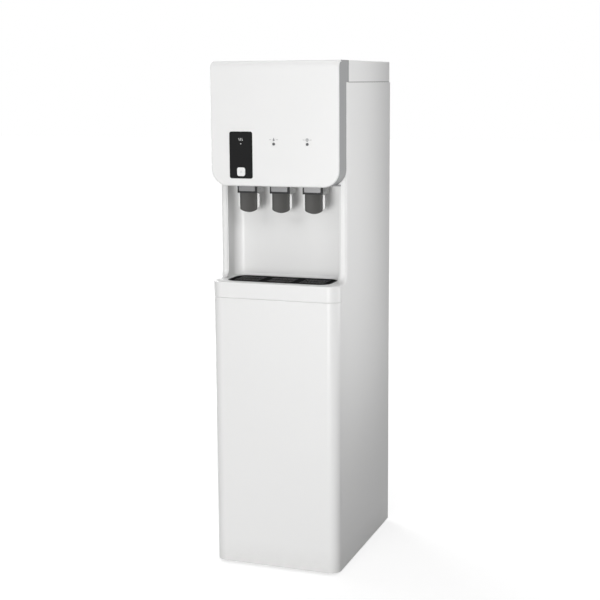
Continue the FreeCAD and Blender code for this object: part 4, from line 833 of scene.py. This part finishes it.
def addLockMark():
    x, y, z = lockMark["place"]
    line, loop, ink = lockMark["line"], lockMark["loop"], lockMark["ink"]
    leg = loop * lockMark["leg"]
    case = addBlock((x, y, z), (lockMark["wide"], ink, lockMark["tall"]))
    useModifier(case, "BEVEL", width=lockMark["round"], segments=2)
    loopZ = z + lockMark["tall"] / 2
    shackle = addBlock((x + loop, y, loopZ), (line, ink, line))
    applyPlace(shackle)
    editWith(shackle, "FACE", lambda end: end.z > loopZ)
    pullOut((0, 0, leg))
    bpy.ops.mesh.spin(
        steps=lockMark["steps"], angle=-math.pi, center=(x, y, loopZ + leg + line / 2), axis=(0, 1, 0))
    pullOut((0, 0, -leg - line / 2))
    leaveEdit()
    settle(joinAll([case, shackle]), "lockMark", "lock_button", "light_lens", inkFaint)


# ready light on the dark window
readyLight = {
    "place": (-0.075, -0.182, 0.937),
    "radius": 0.0011,
    "thickness": 0.0003,
    "round": 0.00008,
    "sides": 28,
}


def addReadyLight():
    light = addRod(
        readyLight["place"], readyLight["radius"], readyLight["thickness"], readyLight["sides"], alongY)
    useModifier(light, "BEVEL", width=readyLight["round"], segments=2, limit_method="ANGLE")
    settle(light, "readyLight", "cabinet", "light_lens", inkPale)


# drip grille: a rolled lip round every slot, glossy for real glints and in a lighter black that paints
# sheen on the slot edges
lip = {
    "tapX": (-0.075, 0.0, 0.075),
    "rowY": (-0.152, -0.122),
    "top": 0.6407,
    "slots": 9,
    "pitch": 0.0064,
    "long": 0.024,
    "wide": 0.003,
    "roll": 0.00035,
    "around": 24,
    "across": 6,
}


def addSlotLips():
    x = lip["tapX"][0] - lip["pitch"] * (lip["slots"] - 1) / 2
    y, half = lip["rowY"][0], lip["wide"] / 2
    first = addRing((x, y, lip["top"]), half, lip["roll"], lip["around"], lip["across"])
    for way in (1, -1):
        editWith(first, "VERT", lambda end: (end.y - y) * way > closeBy)
        bpy.ops.transform.translate(value=(0, (lip["long"] / 2 - half) * way, 0))
        leaveEdit()
    lips = [first]
    for tapX in lip["tapX"]:
        for rowY in lip["rowY"]:
            for slot in range(lip["slots"]):
                shift = (tapX - lip["tapX"][0] + lip["pitch"] * slot, rowY - y, 0)
                if any(shift):
                    lips.append(copyAt(first, shift))
    settle(joinAll(lips), "slotLips", "drip_grille", "black_plastic", rimSheenBlack)


# soft gasket in the seam under the top cover, turned in at the rear corners; its dark grey also stands
# in for the seam's shadow, a painted shadow line
gasket = {
    "outer": 0.1447,
    "wide": 0.0022,
    "tall": 0.0010,
    "round": 0.00025,
    "front": -0.1148,
    "rear": 0.1870,
    "turnIn": 0.0030,
    "turnBack": 0.0040,
    "seam": 1.0641,
}


def addCoverGasketShadow():
    wide, tall = gasket["wide"], gasket["tall"]
    front, rear = gasket["front"], gasket["rear"]
    strips = []
    for side in (1, -1):
        middle = ((gasket["outer"] - wide / 2) * side, (front + rear) / 2, gasket["seam"] + tall / 2)
        strip = addBlock(middle, (wide, rear - front, tall))
        applySize(strip)
        editWith(strip, "FACE", lambda end: end.y > rear - closeBy)
        pullOut((-gasket["turnIn"] * side, gasket["turnBack"], 0))
        leaveEdit()
        useModifier(strip, "BEVEL", width=gasket["round"], segments=2, limit_method="ANGLE")
        strips.append(strip)
    settle(joinAll(strips), "coverGasketShadow", "cabinet", "black_rubber", gasketShadowGrey)


# rear panel screws: pan heads with a cross recess
screw = {
    "sideX": 0.1345,
    "heights": (0.24896, 0.50366, 0.77534, 1.03004),
    "seat": 0.1685,
    "head": 0.004,
    "headTall": 0.0019,
    "sides": 40,
    "edge": 0.0011,
    "shank": 0.0019,
    "grip": 0.008,
    "crossLong": 0.0046,
    "crossWide": 0.0010,
    "crossDeep": 0.0011,
}


def addRearScrews():
    x, z, seat = screw["sideX"], screw["heights"][0], screw["seat"]
    top = seat + screw["headTall"]
    middle = (x, seat + screw["headTall"] / 2, z)
    head = addRod(middle, screw["head"], screw["headTall"], screw["sides"], alongY)
    editWith(head, "EDGE", lambda end: end.y > top - closeBy)
    bpy.ops.mesh.bevel(offset=screw["edge"], segments=5, affect="EDGES")
    leaveEdit()
    editWith(head, "FACE", lambda end: end.y < seat + closeBy)
    bpy.ops.mesh.inset(thickness=screw["head"] - screw["shank"])
    pullOut((0, -screw["grip"], 0))
    leaveEdit()
    deep = screw["crossDeep"] * 2  # the cutter is half sunk
    for angle in (0, math.pi / 2):
        cutter = addBar((x, top, z), screw["crossLong"], screw["crossWide"], deep, angle)
        useModifier(head, "BOOLEAN", object=cutter, operation="DIFFERENCE", solver="EXACT")
        bpy.data.objects.remove(cutter)
    spots = [(side * x - x, 0, height - z) for side in (1, -1) for height in screw["heights"]]
    screws = [head] + [copyAt(head, spot) for spot in spots[1:]]
    piece = settle(joinAll(screws), "rearScrewHeads", "cabinet", "steel")
    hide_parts("rear_screws")


# compressor: weld seam round its shell
seam = {
    "middle": (0.0, 0.090, 0.104),
    "radius": 0.058,
    "bead": 0.0013,
    "upper": 0.3,  # share of the bead above which it is flared
    "flare": 1.004,
    "around": 120,
    "across": 10,
}


def addCompressorSeam():
    ring = addRing(seam["middle"], seam["radius"], seam["bead"], seam["around"], seam["across"])
    editWith(ring, "VERT", lambda end: end.z > seam["middle"][2] + seam["bead"] * seam["upper"])
    bpy.ops.transform.resize(value=(seam["flare"], seam["flare"], 1))
    leaveEdit()
    settle(ring, "compressorSeam", "cabinet", "black_metal")


# compressor: wiring cover with the clip that holds it
cover = {
    "place": (-0.012, 0.1515, 0.078),
    "size": (0.046, 0.020, 0.050),
    "inset": 0.004,
    "raise": 0.003,
    "round": 0.0014,
    "clipWide": 0.006,
    "clipDeep": 0.0158,
    "clipSink": 0.004,
    "clipOver": 0.006,
    "clipRound": 0.0025,
}


def addWiringCover():
    lid = addBlock(cover["place"], cover["size"])
    applySize(lid)
    back = cover["place"][1] + cover["size"][1] / 2
    editWith(lid, "FACE", lambda end: end.y > back - closeBy)
    bpy.ops.mesh.inset(thickness=cover["inset"])
    pullOut((0, cover["raise"], 0))
    leaveEdit()
    useModifier(lid, "BEVEL", width=cover["round"], segments=3, limit_method="ANGLE")
    settle(lid, "wiringCover", "cabinet", "black_plastic")


def addCoverClip():
    x, y, z = cover["place"]
    back = y + cover["size"][1] / 2
    clip = addBlock(
        (x, back - cover["clipSink"], z),
        (cover["clipWide"], cover["clipDeep"], cover["size"][2] + cover["clipOver"]))
    applySize(clip)
    editWith(clip, "EDGE", lambda end: end.y > back)
    bpy.ops.mesh.bevel(offset=cover["clipRound"], segments=3, affect="EDGES")
    leaveEdit()
    settle(clip, "coverClip", "cabinet", "steel")


# compressor: nuts and stud ends on its feet
nuts = {
    "spots": ((0.066, 0.1306), (0.066, 0.0494), (-0.066, 0.1306), (-0.066, 0.0494)),
    "seat": 0.022,
    "radius": 0.0062,
    "tall": 0.005,
    "sides": 6,
    "studRadius": 0.0036,
    "studTall": 0.004,
    "round": 0.0005,
}


def addMountNuts():
    x, y = nuts["spots"][0]
    top = nuts["seat"] + nuts["tall"]
    first = addRod((x, y, nuts["seat"] + nuts["tall"] / 2), nuts["radius"], nuts["tall"], nuts["sides"])
    editWith(first, "FACE", lambda end: end.z > top - closeBy)
    bpy.ops.mesh.inset(thickness=nuts["radius"] - nuts["studRadius"])
    pullOut((0, 0, nuts["studTall"]))
    leaveEdit()
    useModifier(first, "BEVEL", width=nuts["round"], segments=2, limit_method="ANGLE")
    others = [copyAt(first, (spot[0] - x, spot[1] - y, 0)) for spot in nuts["spots"][1:]]
    settle(joinAll([first] + others), "mountNuts", "cabinet", "steel")


# service fittings: ribs on the drain cap, rings on the cord gland, push ring on the inlet
service = {
    "height": 0.25,
    "drainX": -0.1,
    "capRadius": 0.010,
    "capMiddle": 0.1795,
    "ribs": 20,
    "ribSize": (0.0011, 0.0105, 0.0010),
    "ribRound": 0.0003,
    "glandX": -0.04,
    "glandRadius": 0.0058,
    "glandStart": 0.1755,
    "glandStep": 0.0026,
    "glandRings": 4,
    "glandRing": 0.0009,
    "glandAround": 40,
    "glandAcross": 10,
    "glandLean": 0.97,  # each ring leans in towards the cord end
    "inletX": 0.08,
    "mouth": 0.1865,
    "pushRadius": 0.0046,
    "pushRing": 0.0011,
    "pushAround": 48,
    "pushAcross": 12,
    "pushStep": 0.0008,
}


def addDrainCapRibs():
    axle = (service["drainX"], service["capMiddle"], service["height"])
    rib = addBlock((axle[0], axle[1], axle[2] + service["capRadius"]), service["ribSize"])
    useModifier(rib, "BEVEL", width=service["ribRound"], segments=2)
    ribs = [rib]
    for step in range(1, service["ribs"]):
        ribs.append(copyAt(rib, turn=turnAbout(axle, "Y", 2 * math.pi * step / service["ribs"])))
    settle(joinAll(ribs), "drainCapRibs", "drain_cap", "black_plastic")


def addGlandRings():
    start, lean = service["glandStart"], service["glandLean"]
    place = (service["glandX"], start, service["height"])
    ring = addRing(
        place, service["glandRadius"], service["glandRing"],
        service["glandAround"], service["glandAcross"], alongY)
    editWith(ring, "VERT", lambda end: end.y > start)
    bpy.ops.transform.resize(value=(lean, 1, lean))
    leaveEdit()
    rings = [ring]
    for step in range(1, service["glandRings"]):
        rings.append(copyAt(ring, (0, service["glandStep"] * step, 0)))
    settle(joinAll(rings), "glandRings", "cabinet", "black_rubber")


def addInletPushRing():
    place = (service["inletX"], service["mouth"], service["height"])
    push = addRing(
        place, service["pushRadius"], service["pushRing"],
        service["pushAround"], service["pushAcross"], alongY)
    editWith(push, "VERT", lambda end: end.y > service["mouth"])
    bpy.ops.transform.translate(value=(0, service["pushStep"], 0))
    leaveEdit()
    settle(push, "inletPushRing", "cabinet", "blue_fitting", pushGrey)


# power switch: line and ring on the two halves of the rocker
rocker = {
    "pivot": (0.0, 0.1645, 0.25),
    "tilt": 8.0,
    "face": 0.172,
    "offset": 0.0052,
    "line": 0.0007,
    "lineTall": 0.0036,
    "lineRound": 0.00006,
    "ring": 0.0016,
    "ringAround": 36,
    "ringAcross": 8,
    "ringFlat": 0.35,  # the ring's thickness as a share of its line
    "ink": 0.0002,
}


def addRockerMarks():
    x, z = rocker["pivot"][0], rocker["pivot"][2]
    stroke = addBlock(
        (x, rocker["face"], z + rocker["offset"]), (rocker["line"], rocker["ink"], rocker["lineTall"]))
    useModifier(stroke, "BEVEL", width=rocker["lineRound"], segments=1)
    ring = addRing(
        (x, rocker["face"], z - rocker["offset"]), rocker["ring"], rocker["line"] / 2,
        rocker["ringAround"], rocker["ringAcross"], alongY)
    ring.scale = (1, 1, rocker["ringFlat"])
    both = joinAll([stroke, ring])
    tilt = turnAbout(rocker["pivot"], "X", math.radians(rocker["tilt"]))
    both.matrix_world = tilt @ both.matrix_world
    settle(both, "rockerMarks", "switch_rocker", "white_trim", inkPale)


# filter cartridges: printed sleeve and grip rings
sleeve = {
    "spots": {"sediment_filter": -0.08, "carbon_filter": 0.0, "polishing_filter": 0.08},
    "y": -0.119,
    "radius": 0.02805,
    "sides": 72,
    "low": 0.32,
    "high": 0.50,
    "wrap": 0.0003,
    "ringHeights": (0.300, 0.520),
    "ringRadius": 0.0012,
    "ringTall": 0.004,
    "ringAcross": 10,
}


def addFilterSleeves():
    y, radius, sides = sleeve["y"], sleeve["radius"], sleeve["sides"]
    middle, tall = (sleeve["low"] + sleeve["high"]) / 2, sleeve["high"] - sleeve["low"]
    low, high = sleeve["ringHeights"]
    for body, x in sleeve["spots"].items():
        wrap = addRod((x, y, middle), radius, tall, sides, ends="NOTHING")
        useModifier(wrap, "SOLIDIFY", thickness=sleeve["wrap"], offset=1)
        settle(wrap, body.replace("_filter", "Sleeve"), body, "white_trim", sleevePrint)
        ring = addRing((x, y, low), radius, sleeve["ringRadius"], sides, sleeve["ringAcross"])
        editWith(ring, "VERT", lambda end: end.z > low)
        bpy.ops.transform.translate(value=(0, 0, sleeve["ringTall"]))
        leaveEdit()
        rings = [ring, copyAt(ring, (0, 0, high - low))]
        settle(joinAll(rings), body.replace("_filter", "Rings"), body, "white_trim")


addHotMark()
addMarkRules()
addNormalMark()
addColdMark()
addLockMark()
addReadyLight()
addSlotLips()
print("marks on head and button, lips on grille")
addCoverGasketShadow()
addRearScrews()
addCompressorSeam()
addWiringCover()
addCoverClip()
addMountNuts()
addDrainCapRibs()
addGlandRings()
addInletPushRing()
addRockerMarks()
print("cover gasket and rear details")
addFilterSleeves()
print("filter sleeves")
